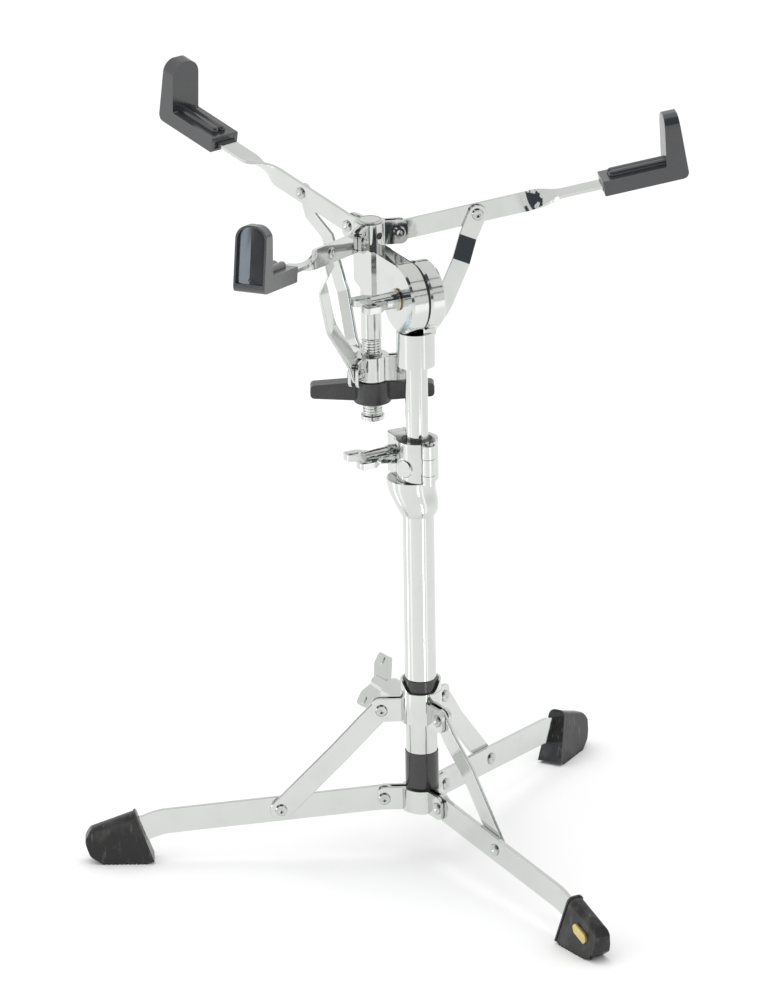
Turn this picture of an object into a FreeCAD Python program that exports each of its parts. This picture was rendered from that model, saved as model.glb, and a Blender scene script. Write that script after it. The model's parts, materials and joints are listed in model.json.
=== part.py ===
import FreeCAD, Part
import math
import os
from types import SimpleNamespace

import Sketcher

# Snare drum stand, millimetres and degrees.
# The origin is on the floor under the base tube, +Z is up, and +Y points away from the player's front view.
# A leg, brace, arm or strut is drawn in its own plane: x outwards, z up, y across the strip.

# Driving dimensions: alias, value, meaning.
SIZE_ROWS = [
    ("running_gap", 0.05, "radial gap of a pin that turns in its hole"),
    ("slide_gap", 0.08, "radial gap of a sleeve that slides on its tube"),
    ("seat_gap", 0.05, "gap between nested pieces that do not move"),
    ("side_gap", 0.3, "gap beside a strip that swings between flanges"),
    ("free_gap", 0.3, "gap between castings that move past each other"),
    ("overrun", 2, "how far a cut runs past the face it opens"),
    ("base_tube_diameter", 22.2, "lower tube, outside"),
    ("base_tube_wall", 1.5, "lower tube wall"),
    ("base_tube_end_height", 34, "lower end of the base tube above the floor"),
    ("leg_azimuth", 180, "direction of the left leg"),
    ("leg_pivot_radius", 26.7, "leg rivet from the tube axis"),
    ("leg_pivot_height", 44.1, "leg rivet above the floor"),
    ("leg_slope", 5.5, "fall of the straight part of a leg"),
    ("leg_strip_height", 18, "leg strip, on edge"),
    ("leg_strip_thickness", 3, "leg strip thickness"),
    ("leg_straight_length", 157.5, "leg rivet to the bend"),
    ("leg_toe_slope", 20, "fall of the leg end inside the shoe"),
    ("leg_toe_length", 38, "bend to the tip of the strip"),
    ("leg_bend_radius", 40, "rounding of the bend"),
    ("brace_rivet_distance", 72.8, "leg rivet to brace rivet along the leg"),
    ("foot_heel_setback", 4.5251, "heel of the shoe beyond the bend of the strip"),
    ("foot_length", 50, "heel to toe of the shoe"),
    ("foot_height", 37.5, "rear top edge of the shoe"),
    ("foot_width", 18, "shoe width"),
    ("foot_nose_height", 17, "height of the foremost point of the toe"),
    ("foot_nose_setback", 5, "toe top edge behind the foremost point"),
    ("foot_toe_lift", 6, "lower edge of the toe above the floor"),
    ("foot_toe_undercut", 4, "lower edge of the toe behind the foremost point"),
    ("foot_sole_bevel", 9, "length of the bevel from toe to sole"),
    ("foot_heel_bevel", 1.6, "small bevel at the heel"),
    ("foot_round", 4, "rounding of the shoe's long edges"),
    ("foot_nose_round", 5, "rounding of the toe"),
    ("foot_groove_depth", 1.2, "depth of the grooves in the sole"),
    ("foot_groove_width", 2.2, "width of a groove in the sole"),
    ("leg_collar_height", 16.6, "height of the leg collar"),
    ("leg_collar_wall", 3.4, "wall of the leg collar round the tube"),
    ("leg_flange_reach", 31.6, "end of the leg flanges from the tube axis"),
    ("flange_thickness", 2.4, "thickness of a flange"),
    ("flange_round", 5, "rounded corners of a flange"),
    ("rivet_diameter", 5, "rivet shank"),
    ("rivet_head_diameter", 8.6, "rivet head"),
    ("rivet_head_height", 1.5, "height of a rivet head"),
    ("rivet_dimple_diameter", 4, "hollow in a rivet head"),
    ("rivet_dimple_depth", 0.9, "depth of that hollow"),
    ("stop_sleeve_length", 27, "black sleeve on the base tube"),
    ("stop_sleeve_wall", 0.55, "wall of the black sleeve"),
    ("brace_pivot_radius", 27.9, "upper brace rivet from the tube axis"),
    ("brace_pivot_height", 110.3, "upper brace rivet above the floor"),
    ("brace_width", 15.5, "brace strip width"),
    ("brace_thickness", 2.5, "brace strip thickness"),
    ("brace_joggle_start", 14, "joggle starts this far from the upper rivet"),
    ("brace_joggle_end", 42, "joggle ends this far from the upper rivet"),
    ("brace_collar_height", 23, "height of the sliding collar's ring"),
    ("brace_collar_drop", 8.3, "ring's lower face below the upper brace rivet"),
    ("brace_collar_wall", 2.2, "wall of the sliding collar's ring"),
    ("brace_flange_reach", 34.5, "end of the brace flanges from the tube axis"),
    ("brace_flange_height", 16.6, "height of the brace flanges"),
    ("brace_bushing_wall", 1.2, "wall of the black bushing"),
    ("brace_bushing_proud", 8.5, "bushing standing above the ring"),
    ("lock_azimuth", 120, "direction of the leg lock bolt"),
    ("lock_boss_diameter", 19, "boss that holds the leg lock bolt"),
    ("lock_boss_reach", 39, "face of that boss from the tube axis"),
    ("bolt_diameter", 8, "shank of the wing bolts"),
    ("washer_diameter", 14, "collar under a wing bolt's head"),
    ("washer_thickness", 2, "thickness of that collar"),
    ("barrel_root_diameter", 12.5, "wing bolt barrel beside the collar"),
    ("barrel_tip_diameter", 10, "wing bolt barrel at its end"),
    ("barrel_length", 21, "collar face to barrel end"),
    ("wing_length", 30, "collar face to the tips of the wings"),
    ("wing_thickness", 4.5, "thickness of a wing"),
    ("wing_tip_width", 9, "width of a wing across its tip"),
    ("wing_round", 2.5, "rounded corners of a wing"),
    ("leg_lock_wing_span", 40, "leg lock bolt, tip to tip"),
    ("leg_lock_wing_angle", 30, "lean of the leg lock bolt's wings from upright"),
    ("height_wing_span", 30, "height bolt, tip to tip"),
    ("tilt_wing_span", 28, "tilt bolt, tip to tip"),
    ("tilter_azimuth", 116, "direction from the tube to the basket post"),
    ("receiver_bottom_height", 256, "lower edge of the receiver"),
    ("receiver_height", 26.5, "receiver up to the clamp seam"),
    ("receiver_socket_depth", 22, "length of base tube inside the receiver"),
    ("receiver_neck_radius", 12.4, "receiver at its lower edge"),
    ("receiver_shoulder_radius", 13.6, "receiver just above its lower edge"),
    ("receiver_shoulder_rise", 2.5, "lower edge to that shoulder"),
    ("receiver_middle_radius", 16.2, "receiver half way up"),
    ("receiver_middle_offset", 2.9, "shift of the half-way section"),
    ("receiver_mouth_radius", 17.6, "receiver at the clamp seam"),
    ("receiver_mouth_offset", 4.4, "shift of the mouth towards the lugs"),
    ("receiver_flare_azimuth", 159, "direction of that shift"),
    ("clamp_height", 29, "height of the clamp above the seam"),
    ("clamp_wall", 3.8, "wall of the clamp round its bushing"),
    ("clamp_split", 1, "slit between clamp jaw and fixed half"),
    ("clamp_lug_reach", 25, "end of the clamp lugs from the tube axis"),
    ("clamp_lug_depth", 12, "thickness of a lug along its bolt"),
    ("clamp_lug_round", 4, "rounded lug corners"),
    ("clamp_bolt_distance", 18, "clamp bolt from the tube axis"),
    ("clamp_bolt_rise", 13.5, "clamp bolt above the seam"),
    ("clamp_bolt_play", 0.7, "radial play of the bolt in the fixed lug"),
    ("clamp_bolt_grip", 10, "bolt shank inside the fixed lug"),
    ("hinge_distance", 16.5, "clamp hinge from the tube axis"),
    ("hinge_knuckle_diameter", 9.4, "clamp hinge knuckles"),
    ("hinge_pin_diameter", 4, "clamp hinge pin"),
    ("hinge_head_diameter", 7, "head of the hinge pin"),
    ("hinge_head_height", 1.2, "height of that head"),
    ("hinge_lower_knuckle", 6.8, "height of the lower knuckle"),
    ("hinge_middle_knuckle", 12.5, "height of the jaw's knuckle"),
    ("bushing_wall", 2.6, "nylon bushing inside the clamp"),
    ("bushing_depth", 34, "bushing below the top of the base tube"),
    ("upper_tube_diameter", 15.9, "upper tube, outside"),
    ("upper_tube_wall", 1.5, "upper tube wall"),
    ("upper_tube_end_height", 130, "lower end of the upper tube"),
    ("tilt_height", 416, "tilt axis above the floor"),
    ("tilter_sleeve_diameter", 26.9, "sleeve of the tilter base"),
    ("tilter_sleeve_drop", 50, "lower edge of the sleeve below the tilt axis"),
    ("tilter_sleeve_depth", 20, "upper tube inside the sleeve"),
    ("tilter_disc_diameter", 49.2, "tilter discs"),
    ("tilter_disc_round", 1.5, "rounded rims of the discs"),
    ("tilter_base_disc", 11.5, "thickness of the base disc"),
    ("tilter_arm_disc", 13.5, "thickness of the arm disc"),
    ("tilter_neck_width", 22, "neck between sleeve and base disc"),
    ("tilt_bolt_grip", 9, "tilt bolt inside the base disc"),
    ("friction_disc_diameter", 46, "black disc between the castings"),
    ("friction_disc_thickness", 1, "thickness of that disc"),
    ("post_offset", 52, "basket post from the tube, across the tilt axis"),
    ("post_side", 8, "basket post from the tube, along the tilt axis"),
    ("post_diameter", 14.6, "plain part of the post"),
    ("post_end_drop", 105.5, "lower end of the post below the tilt axis"),
    ("thread_diameter", 14, "thread on the post, outside"),
    ("thread_depth", 1, "depth of the thread"),
    ("thread_pitch", 2, "pitch of the thread"),
    ("thread_top_drop", 45, "upper end of the thread below the tilt axis"),
    ("retainer_diameter", 16.7, "ring at the end of the post"),
    ("retainer_thickness", 3, "thickness of that ring"),
    ("retainer_rise", 1, "ring above the end of the post"),
    ("web_top_rise", 24, "top of the web above the tilt axis"),
    ("web_end_drop", 4, "lower corner of the web at its far end, below the tilt axis"),
    ("web_heel_drop", 10, "lower edge of the web under the post, below the tilt axis"),
    ("web_end_margin", 10, "end of the web beyond the post axis"),
    ("web_post_cover", 0.7, "metal over the post at the web's faces"),
    ("web_round", 3, "rounded end of the web"),
    ("hub_height", 16.8, "height of the basket hub"),
    ("hub_diameter", 21.6, "hub round the post"),
    ("hub_cap_diameter", 18.5, "cap on the hub"),
    ("hub_cap_thickness", 1.2, "thickness of the cap"),
    ("hub_flange_reach", 26.2, "end of the arm flanges from the post axis"),
    ("set_screw_diameter", 5, "screw that holds the hub on the post"),
    ("set_screw_sink", 0.8, "screw below the hub's surface"),
    ("basket_azimuth", 7.5, "direction of the right arm"),
    ("arm_pivot_radius", 20.2, "arm rivet from the post axis"),
    ("arm_slope", 9.7, "rise of an arm"),
    ("arm_width", 14, "arm strip width"),
    ("arm_thickness", 2.6, "arm strip thickness"),
    ("arm_twist_start", 82, "arm rivet to the start of the twist"),
    ("arm_twist_length", 36, "length of the quarter twist"),
    ("arm_length", 191, "arm rivet to the tip of the strip"),
    ("strut_rivet_distance", 55.9, "arm rivet to strut rivet along the arm"),
    ("grip_start", 145, "arm rivet to the inner end of the grip"),
    ("grip_length", 60.5, "length of the grip"),
    ("grip_width", 23, "width of the grip"),
    ("grip_base_thickness", 11, "thickness of the grip round the strip"),
    ("grip_height", 46.6, "height of the grip's upright"),
    ("grip_root_thickness", 14.8, "upright at its root"),
    ("grip_top_thickness", 10, "upright at its top"),
    ("grip_top_round", 9.5, "rounded top corners of the upright"),
    ("grip_corner_round", 2.5, "rounded outer corners of the grip"),
    ("strut_width", 13, "strut strip width"),
    ("strut_thickness", 2.5, "strut strip thickness"),
    ("strut_kink_radius", 48.5, "kink of a strut from the post axis"),
    ("strut_kink_drop", 20, "kink of a strut below the tilt axis"),
    ("strut_joggle_start", 34, "joggle starts this far above the kink"),
    ("strut_joggle_end", 50, "joggle ends this far above the kink"),
    ("strut_bow", 7.5, "middle of a strut set aside from its lower end"),
    ("strut_bow_start", 40, "bow starts this far below the kink"),
    ("strut_bow_end", 6, "bow is reached this far below the kink"),
    ("carriage_lug_offset", 4, "carriage lugs set aside from the plane of their arm"),
    ("carriage_pivot_radius", 20, "strut pin from the post axis"),
    ("carriage_pivot_drop", 66, "strut pin below the tilt axis"),
    ("carriage_height", 18, "height of the carriage"),
    ("carriage_diameter", 23, "carriage round the post"),
    ("carriage_lug_reach", 26, "end of the carriage lugs from the post axis"),
    ("nut_hub_diameter", 26.5, "hub of the two-wing nut"),
    ("nut_height", 16, "height of that hub"),
    ("nut_wing_radius", 43.3, "tips of the nut's wings"),
    ("nut_wing_root_height", 15, "wing height at the hub"),
    ("nut_wing_tip_height", 9.5, "wing height at the tip"),
    ("nut_wing_width", 11, "width of a wing"),
    ("nut_wing_round", 3, "rounded wing tips"),
    ("nut_insert_diameter", 19, "threaded insert in the nut"),
]

# Shares chosen by hand.
END_ROUND_SHARE = 0.98
WING_ROOT_SHARE = 0.22
WING_FLARE_SHARE = 0.62
WING_NOTCH_SHARE = 0.78
WEB_TAPER_SHARE = 0.62
TWIST_STATIONS = 9
FOOT_GROOVES = 6
LIMB_NAMES = ("left", "front", "rear")
ARM_NAMES = ("right", "rear", "front")
THIRD_TURN = 360 / 3

doc = FreeCAD.newDocument("snare_drum_stand")
sheet = doc.addObject("Spreadsheet::Sheet", "Sizes")
pieces = []


class Measure:
    """A number together with the sheet formula that gives it."""

    def __init__(self, number, formula):
        self.number = number
        self.formula = formula

    def __float__(self):
        return float(self.number)

    def __add__(self, other):
        return Measure(float(self) + float(other), f"({self.formula} + {formula_of(other)})")

    def __sub__(self, other):
        return Measure(float(self) - float(other), f"({self.formula} - {formula_of(other)})")

    def __mul__(self, other):
        return Measure(float(self) * float(other), f"({self.formula} * {formula_of(other)})")

    def __truediv__(self, other):
        return Measure(float(self) / float(other), f"({self.formula} / {formula_of(other)})")

    def __neg__(self):
        return Measure(-float(self), f"(0 - {self.formula})")


def formula_of(value):
    return value.formula if isinstance(value, Measure) else repr(float(value))


def sine(angle):
    return Measure(math.sin(math.radians(float(angle))), f"sin({angle.formula})")


def cosine(angle):
    return Measure(math.cos(math.radians(float(angle))), f"cos({angle.formula})")


def tangent(angle):
    return Measure(math.tan(math.radians(float(angle))), f"tan({angle.formula})")


def distance(across, up):
    number = math.hypot(float(across), float(up))
    return Measure(number, f"sqrt({across.formula} * {across.formula} + {up.formula} * {up.formula})")


def direction(across, up):
    number = math.degrees(math.atan2(float(up), float(across)))
    return Measure(number, f"atan2({up.formula}; {across.formula})")


def read_sizes():
    """Fill the sheet and give each alias back as a Measure."""
    named = {}
    for row, (alias, value, meaning) in enumerate(SIZE_ROWS, start=1):
        sheet.set(f"A{row}", meaning)
        sheet.set(f"B{row}", str(value))
        sheet.setAlias(f"B{row}", alias)
    doc.recompute()
    for alias, _value, _meaning in SIZE_ROWS:
        named[alias] = Measure(float(sheet.get(alias)), f"Sizes.{alias}")
    return SimpleNamespace(**named)


size = read_sizes()
zero = Measure(0, "0")


# Placing

def vector(x=0, y=0, z=0):
    return FreeCAD.Vector(float(x), float(y), float(z))


def at(x=0, y=0, z=0):
    return FreeCAD.Placement(vector(x, y, z), FreeCAD.Rotation())


def turned_about(axis, angle):
    return FreeCAD.Placement(vector(), FreeCAD.Rotation(axis, float(angle)))


def about_z(angle):
    return turned_about(vector(z=1), angle)


def along_y(x=0, y=0, z=0):
    """Lay a piece that was made along z down along +y."""
    return at(x, y, z) * turned_about(vector(x=1), -90)


def along_x(x=0, y=0, z=0):
    """Lay a piece that was made along z down along +x."""
    return at(x, y, z) * turned_about(vector(y=1), 90)


# Turns a plate drawn in (y, z) to face along x.
FACING_X = FreeCAD.Rotation(vector(y=1), vector(z=1), vector(x=1), "XYZ")


# Building blocks

def bind(item, **measures):
    for name, measure in measures.items():
        item.setExpression(name, measure.formula)


def cylinder(name, radius, height, place):
    solid = doc.addObject("Part::Cylinder", name)
    bind(solid, Radius=radius, Height=height)
    solid.Placement = place
    return solid


def box(name, length, width, height, place):
    solid = doc.addObject("Part::Box", name)
    bind(solid, Length=length, Width=width, Height=height)
    solid.Placement = place
    return solid


def block(name, low, high):
    """A box between two corners given as measures."""
    spans = [b - a for a, b in zip(low, high)]
    return box(name, spans[0], spans[1], spans[2], at(*low))


def fuse(name, solids):
    joined = doc.addObject("Part::MultiFuse", name)
    joined.Shapes = solids
    joined.Refine = True
    return joined


def common(name, solids):
    shared = doc.addObject("Part::MultiCommon", name)
    shared.Shapes = solids
    return shared


def cut(name, base, tools):
    result = doc.addObject("Part::Cut", name)
    result.Base = base
    result.Tool = tools[0] if len(tools) == 1 else fuse(name + "_tools", tools)
    return result


def outline(body, name, role, points):
    """A closed outline whose every corner is bound to the sheet."""
    sketch = body.newObject("Sketcher::SketchObject", name)
    plane = [feature for feature in body.Origin.OriginFeatures if feature.Role == role][0]
    sketch.AttachmentSupport = [(plane, "")]
    sketch.MapMode = "FlatFace"
    corners = [vector(x, y) for x, y in points]
    count = len(corners)
    for here, there in zip(corners, corners[1:] + corners[:1]):
        sketch.addGeometry(Part.LineSegment(here, there), False)
    for index in range(count):
        sketch.addConstraint(Sketcher.Constraint("Coincident", index, 2, (index + 1) % count, 1))
    for index, pair in enumerate(points):
        for kind, measure in zip(("DistanceX", "DistanceY"), pair):
            rule = sketch.addConstraint(Sketcher.Constraint(kind, -1, 1, index, 1, float(measure)))
            sketch.setExpression(f"Constraints[{rule}]", measure.formula)
    return sketch


def edges_at(shape, corners, role):
    """Names of the edges that run through an outline's corners, across the sketch plane."""
    names = []
    for number, edge in enumerate(shape.Edges, start=1):
        if len(edge.Vertexes) != 2:
            continue
        start, end = [vertex.Point for vertex in edge.Vertexes]
        middle = (start + end) / 2
        flat = (middle.x, middle.z) if role == "XZ_Plane" else (middle.x, middle.y)
        rise = abs(end.y - start.y) if role == "XZ_Plane" else abs(end.z - start.z)
        near = [c for c in corners if math.hypot(flat[0] - c.x, flat[1] - c.y) < edge.Length * 1e-6 + 1e-6]
        if near and rise > edge.Length * (1 - 1e-6):
            names.append(f"Edge{number}")
    return names


def plate(name, points, thickness, rounds=(), role="XZ_Plane"):
    """A flat piece with rounded corners: rounds lists (radius, corner numbers)."""
    body = doc.addObject("PartDesign::Body", name)
    sketch = outline(body, name + "_outline", role, points)
    feature = body.newObject("PartDesign::Pad", name + "_pad")
    feature.Profile = sketch
    feature.Midplane = True
    bind(feature, Length=thickness)
    doc.recompute()
    for number, (radius, corners) in enumerate(rounds):
        places = [vector(*points[corner]) for corner in corners]
        fillet = body.newObject("PartDesign::Fillet", f"{name}_round_{number}")
        fillet.Base = (feature, edges_at(feature.Shape, places, role))
        bind(fillet, Radius=radius)
        doc.recompute()
        feature = fillet
    return body


def turning(name, points):
    """A turned piece: points are (radius, height) along half of its section."""
    body = doc.addObject("PartDesign::Body", name)
    sketch = outline(body, name + "_outline", "XZ_Plane", points)
    spin = body.newObject("PartDesign::Revolution", name + "_spin")
    spin.Profile = sketch
    spin.ReferenceAxis = (sketch, ["V_Axis"])
    spin.Angle = 360
    return body


def pipe(name, inner_radius, outer_radius, low, high):
    """A plain tube about the z axis."""
    inner = [(inner_radius, high), (inner_radius, low)]
    outer = [(outer_radius, low), (outer_radius, high)]
    return turning(name, inner + outer)


def keep(item, label, place=None):
    """Name a finished sub-part and put it in its place."""
    item.Label = label
    if place is not None:
        item.Placement = place
    pieces.append(item)
    return item


# Derived sizes that several pieces share

base_radius = size.base_tube_diameter / 2
upper_radius = size.upper_tube_diameter / 2
post_radius = size.post_diameter / 2
rivet_radius = size.rivet_diameter / 2
bolt_radius = size.bolt_diameter / 2
pin_hole_radius = rivet_radius + size.running_gap
seat_hole_radius = rivet_radius + size.seat_gap
leg_half_gap = size.leg_strip_thickness / 2 + size.side_gap
brace_half_gap = size.brace_thickness / 2 + size.side_gap
arm_half_gap = size.arm_thickness / 2 + size.side_gap
strut_half_gap = size.strut_thickness / 2 + size.side_gap
brace_side = size.leg_strip_thickness / 2 + size.side_gap + size.brace_thickness / 2
strut_side = size.arm_thickness / 2 + size.side_gap + size.strut_thickness / 2
leg_bend_x = size.leg_pivot_radius + size.leg_straight_length * cosine(size.leg_slope)
foot_heel_x = leg_bend_x + size.foot_heel_setback
foot_toe_x = foot_heel_x + size.foot_length
leg_rivet_radius = size.leg_pivot_radius + size.brace_rivet_distance * cosine(size.leg_slope)
leg_rivet_height = size.leg_pivot_height - size.brace_rivet_distance * sine(size.leg_slope)
receiver_seam = size.receiver_bottom_height + size.receiver_height
clamp_top = receiver_seam + size.clamp_height
base_tube_top = size.receiver_bottom_height + size.receiver_socket_depth
bushing_radius = upper_radius + size.slide_gap + size.bushing_wall
tilter_sleeve_bottom = size.tilt_height - size.tilter_sleeve_drop
disc_radius = size.tilter_disc_diameter / 2
arm_disc_start = size.friction_disc_thickness / 2
arm_disc_face = arm_disc_start + size.tilter_arm_disc
hub_bottom = size.tilt_height + size.web_top_rise
hub_top = hub_bottom + size.hub_height
arm_pivot_height = hub_bottom + size.hub_height / 2
strut_rivet_radius = size.arm_pivot_radius + size.strut_rivet_distance * cosine(size.arm_slope)
strut_rivet_height = arm_pivot_height + size.strut_rivet_distance * sine(size.arm_slope)
post_end_height = size.tilt_height - size.post_end_drop
thread_top_height = size.tilt_height - size.thread_top_drop
strut_kink_height = size.tilt_height - size.strut_kink_drop
carriage_pivot_height = size.tilt_height - size.carriage_pivot_drop
carriage_bottom = carriage_pivot_height - size.carriage_height / 2
nut_top = carriage_bottom - size.free_gap

tilter_frame = about_z(size.tilter_azimuth)
post_frame = tilter_frame * at(size.post_offset, size.post_side)


def limb_frame(number):
    return about_z(float(size.leg_azimuth) + THIRD_TURN * number)


def arm_frame(number):
    post_axis = at(post_frame.Base.x, post_frame.Base.y)
    return post_axis * about_z(float(size.basket_azimuth) + THIRD_TURN * number)


# Rivets and wing bolts

def headed_pin(name, grip):
    """A rivet about z with a hollowed head at each end."""
    half = grip / 2
    top = half + size.rivet_head_height
    head = size.rivet_head_diameter / 2
    bevel = size.rivet_head_height / 2
    dimple = size.rivet_dimple_diameter / 2
    floor = top - size.rivet_dimple_depth
    upper = [
        (rivet_radius, half),
        (head, half),
        (head, top - bevel),
        (head - bevel, top),
        (dimple, top),
        (zero, floor),
    ]
    lower = [(radius, -height) for radius, height in reversed(upper)]
    return turning(name, lower + upper)


def half_rivet(name, start, end):
    """One headed half of an opened rivet about z: plain end at start, head beyond end."""
    top = end + size.rivet_head_height
    head = size.rivet_head_diameter / 2
    bevel = size.rivet_head_height / 2
    dimple = size.rivet_dimple_diameter / 2
    floor = top - size.rivet_dimple_depth
    return turning(name, [
        (zero, start),
        (rivet_radius, start),
        (rivet_radius, end),
        (head, end),
        (head, top - bevel),
        (head - bevel, top),
        (dimple, top),
        (zero, floor),
    ])


def pivot_group(label, grip, radius, height, frames):
    """The rivets of one collar, one solid for each limb."""
    pins = []
    for number, frame in enumerate(frames):
        pin = headed_pin(f"{label}_{number}", grip)
        pin.Placement = frame * along_y(radius, zero, height)
        pins.append(pin)
    group = doc.addObject("Part::Compound", label)
    group.Links = pins
    keep(group, label)


def wing_bolt(label, shank, span, wing_angle, place):
    """A bolt along z: shank below zero, collar, barrel and two wings that flare past the barrel."""
    root = size.barrel_root_diameter / 2
    tip = size.barrel_tip_diameter / 2
    core = turning(label + "_core", [
        (zero, -shank),
        (bolt_radius, -shank),
        (bolt_radius, zero),
        (size.washer_diameter / 2, zero),
        (size.washer_diameter / 2, size.washer_thickness),
        (root, size.washer_thickness),
        (tip, size.barrel_length),
        (zero, size.barrel_length),
    ])
    half_span = span / 2
    wing_root = size.wing_length * WING_ROOT_SHARE
    wing_flare = size.wing_length * WING_FLARE_SHARE
    wing_notch = size.wing_length * WING_NOTCH_SHARE
    right = [
        (tip / 2, wing_root),
        (half_span, wing_flare),
        (half_span, size.wing_length),
        (half_span - size.wing_tip_width, size.wing_length),
        (tip / 2, wing_notch),
    ]
    left = [(-x, z) for x, z in reversed(right)]
    tips = (1, 2, 3, 6, 7, 8)
    wings = plate(label + "_wings", right + left, size.wing_thickness, [(size.wing_round, tips)])
    wings.Placement = about_z(wing_angle)
    keep(fuse(label, [core, wings]), label, place)


# Collars with flange pairs

def flange_plates(name, reach, half_gap, middle, height, frames):
    """Plates that stand out of a ring, one for each limb, before the slots are cut."""
    plates = []
    half = height / 2
    corners = [(zero, -half), (reach, -half), (reach, half), (zero, half)]
    thickness = (half_gap + size.flange_thickness) * 2
    for number, frame in enumerate(frames):
        flange = plate(f"{name}_flange_{number}", corners, thickness, [(size.flange_round, (1, 2))])
        flange.Placement = frame * at(z=middle)
        plates.append(flange)
    return plates


def flange_cuts(name, start, reach, half_gap, middle, height, pivot_radius, pivot_height, frames):
    """Slots for the strips and holes for their rivets."""
    cuts = []
    width = (half_gap + size.flange_thickness) * 2 + size.overrun * 2
    for number, frame in enumerate(frames):
        low = (start, -half_gap, middle - height / 2 - size.overrun)
        high = (reach + size.overrun, half_gap, middle + height / 2 + size.overrun)
        slot = block(f"{name}_slot_{number}", low, high)
        slot.Placement = frame * slot.Placement
        hole_place = along_y(pivot_radius, -width / 2, pivot_height)
        hole = cylinder(f"{name}_hole_{number}", seat_hole_radius, width, hole_place)
        hole.Placement = frame * hole.Placement
        cuts += [slot, hole]
    return cuts


limb_frames = [limb_frame(number) for number in range(3)]
arm_frames = [arm_frame(number) for number in range(3)]
arm_local_frames = [about_z(float(size.basket_azimuth) + THIRD_TURN * number) for number in range(3)]
post_axis_place = at(post_frame.Base.x, post_frame.Base.y)


# Base

def base_tube():
    bore = base_radius - size.base_tube_wall
    keep(pipe("base_tube", bore, base_radius, size.base_tube_end_height, base_tube_top), "base_tube")


def leg_collar():
    bore = base_radius + size.seat_gap
    outer = bore + size.leg_collar_wall
    middle = size.leg_pivot_height
    height = size.leg_collar_height
    low = middle - height / 2
    ring = cylinder("leg_collar_ring", outer, height, at(z=low))
    plates = flange_plates("leg_collar", size.leg_flange_reach, leg_half_gap, middle, height, limb_frames)
    cuts = flange_cuts("leg_collar", zero, size.leg_flange_reach, leg_half_gap, middle, height,
                       size.leg_pivot_radius, size.leg_pivot_height, limb_frames)
    bore_height = height + size.overrun * 2
    cuts.append(cylinder("leg_collar_bore", bore, bore_height, at(z=low - size.overrun)))
    keep(cut("leg_collar_segments", fuse("leg_collar_blank", [ring] + plates), cuts), "leg_collar_segments")
    grip = (leg_half_gap + size.flange_thickness) * 2
    pivot_group("leg_pivot_rivets", grip, size.leg_pivot_radius, size.leg_pivot_height, limb_frames)


def stop_sleeve():
    low = size.leg_pivot_height + size.leg_collar_height / 2
    bore = base_radius + size.seat_gap
    sleeve = pipe("stop_sleeve", bore, bore + size.stop_sleeve_wall, low, low + size.stop_sleeve_length)
    keep(sleeve, "stop_sleeve")


# Legs and shoes

def leg_outline():
    """The strip in its own frame: rivet at the origin, bend and toe falling further."""
    half = size.leg_strip_height / 2
    turn = size.leg_toe_slope - size.leg_slope
    miter = half * tangent(turn / 2)
    bend = size.leg_straight_length
    tip_x = bend + size.leg_toe_length * cosine(turn)
    tip_z = -(size.leg_toe_length * sine(turn))
    return [
        (-half, -half),
        (bend - miter, -half),
        (tip_x - half * sine(turn), tip_z - half * cosine(turn)),
        (tip_x + half * sine(turn), tip_z + half * cosine(turn)),
        (bend + miter, half),
        (-half, half),
    ]


def leg(number):
    name = f"{LIMB_NAMES[number]}_leg"
    half = size.leg_strip_height / 2
    rounds = [(half * END_ROUND_SHARE, (0, 5)), (size.leg_bend_radius, (1, 4))]
    strip = plate(name + "_strip", leg_outline(), size.leg_strip_thickness, rounds)
    depth = size.leg_strip_thickness + size.overrun * 2
    pivot = cylinder(name + "_pivot_hole", pin_hole_radius, depth, along_y(zero, -depth / 2, zero))
    rivet_place = along_y(size.brace_rivet_distance, -depth / 2, zero)
    rivet = cylinder(name + "_rivet_hole", seat_hole_radius, depth, rivet_place)
    place = limb_frame(number) * leg_place()
    keep(cut(name, strip, [pivot, rivet]), name, place)
    tail = f"{LIMB_NAMES[number]}_leg_rivet_tail"
    start = -(size.leg_strip_thickness / 2)
    rivet_half = half_rivet(tail, start, size.leg_strip_thickness / 2)
    keep(rivet_half, tail, place * at(size.brace_rivet_distance) * turned_about(vector(x=1), 90))


def leg_place():
    return at(size.leg_pivot_radius, zero, size.leg_pivot_height) * turned_about(vector(y=1), size.leg_slope)


def foot_outline():
    """The shoe's side view: heel, rear face square to the strip, sloping top, rounded toe, sole."""
    rear_x = foot_heel_x + size.foot_height * tangent(size.leg_toe_slope)
    nose_top_x = foot_toe_x - size.foot_nose_setback
    nose_top_z = size.foot_height - (nose_top_x - rear_x) * tangent(size.leg_toe_slope)
    lift_x = foot_toe_x - size.foot_toe_undercut
    heel_rise = size.foot_heel_bevel * tangent(size.leg_toe_slope)
    return [
        (foot_heel_x + size.foot_heel_bevel, zero),
        (lift_x - size.foot_sole_bevel, zero),
        (lift_x, size.foot_toe_lift),
        (foot_toe_x, size.foot_nose_height),
        (nose_top_x, nose_top_z),
        (rear_x, size.foot_height),
        (foot_heel_x + heel_rise, size.foot_heel_bevel),
    ]


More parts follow.
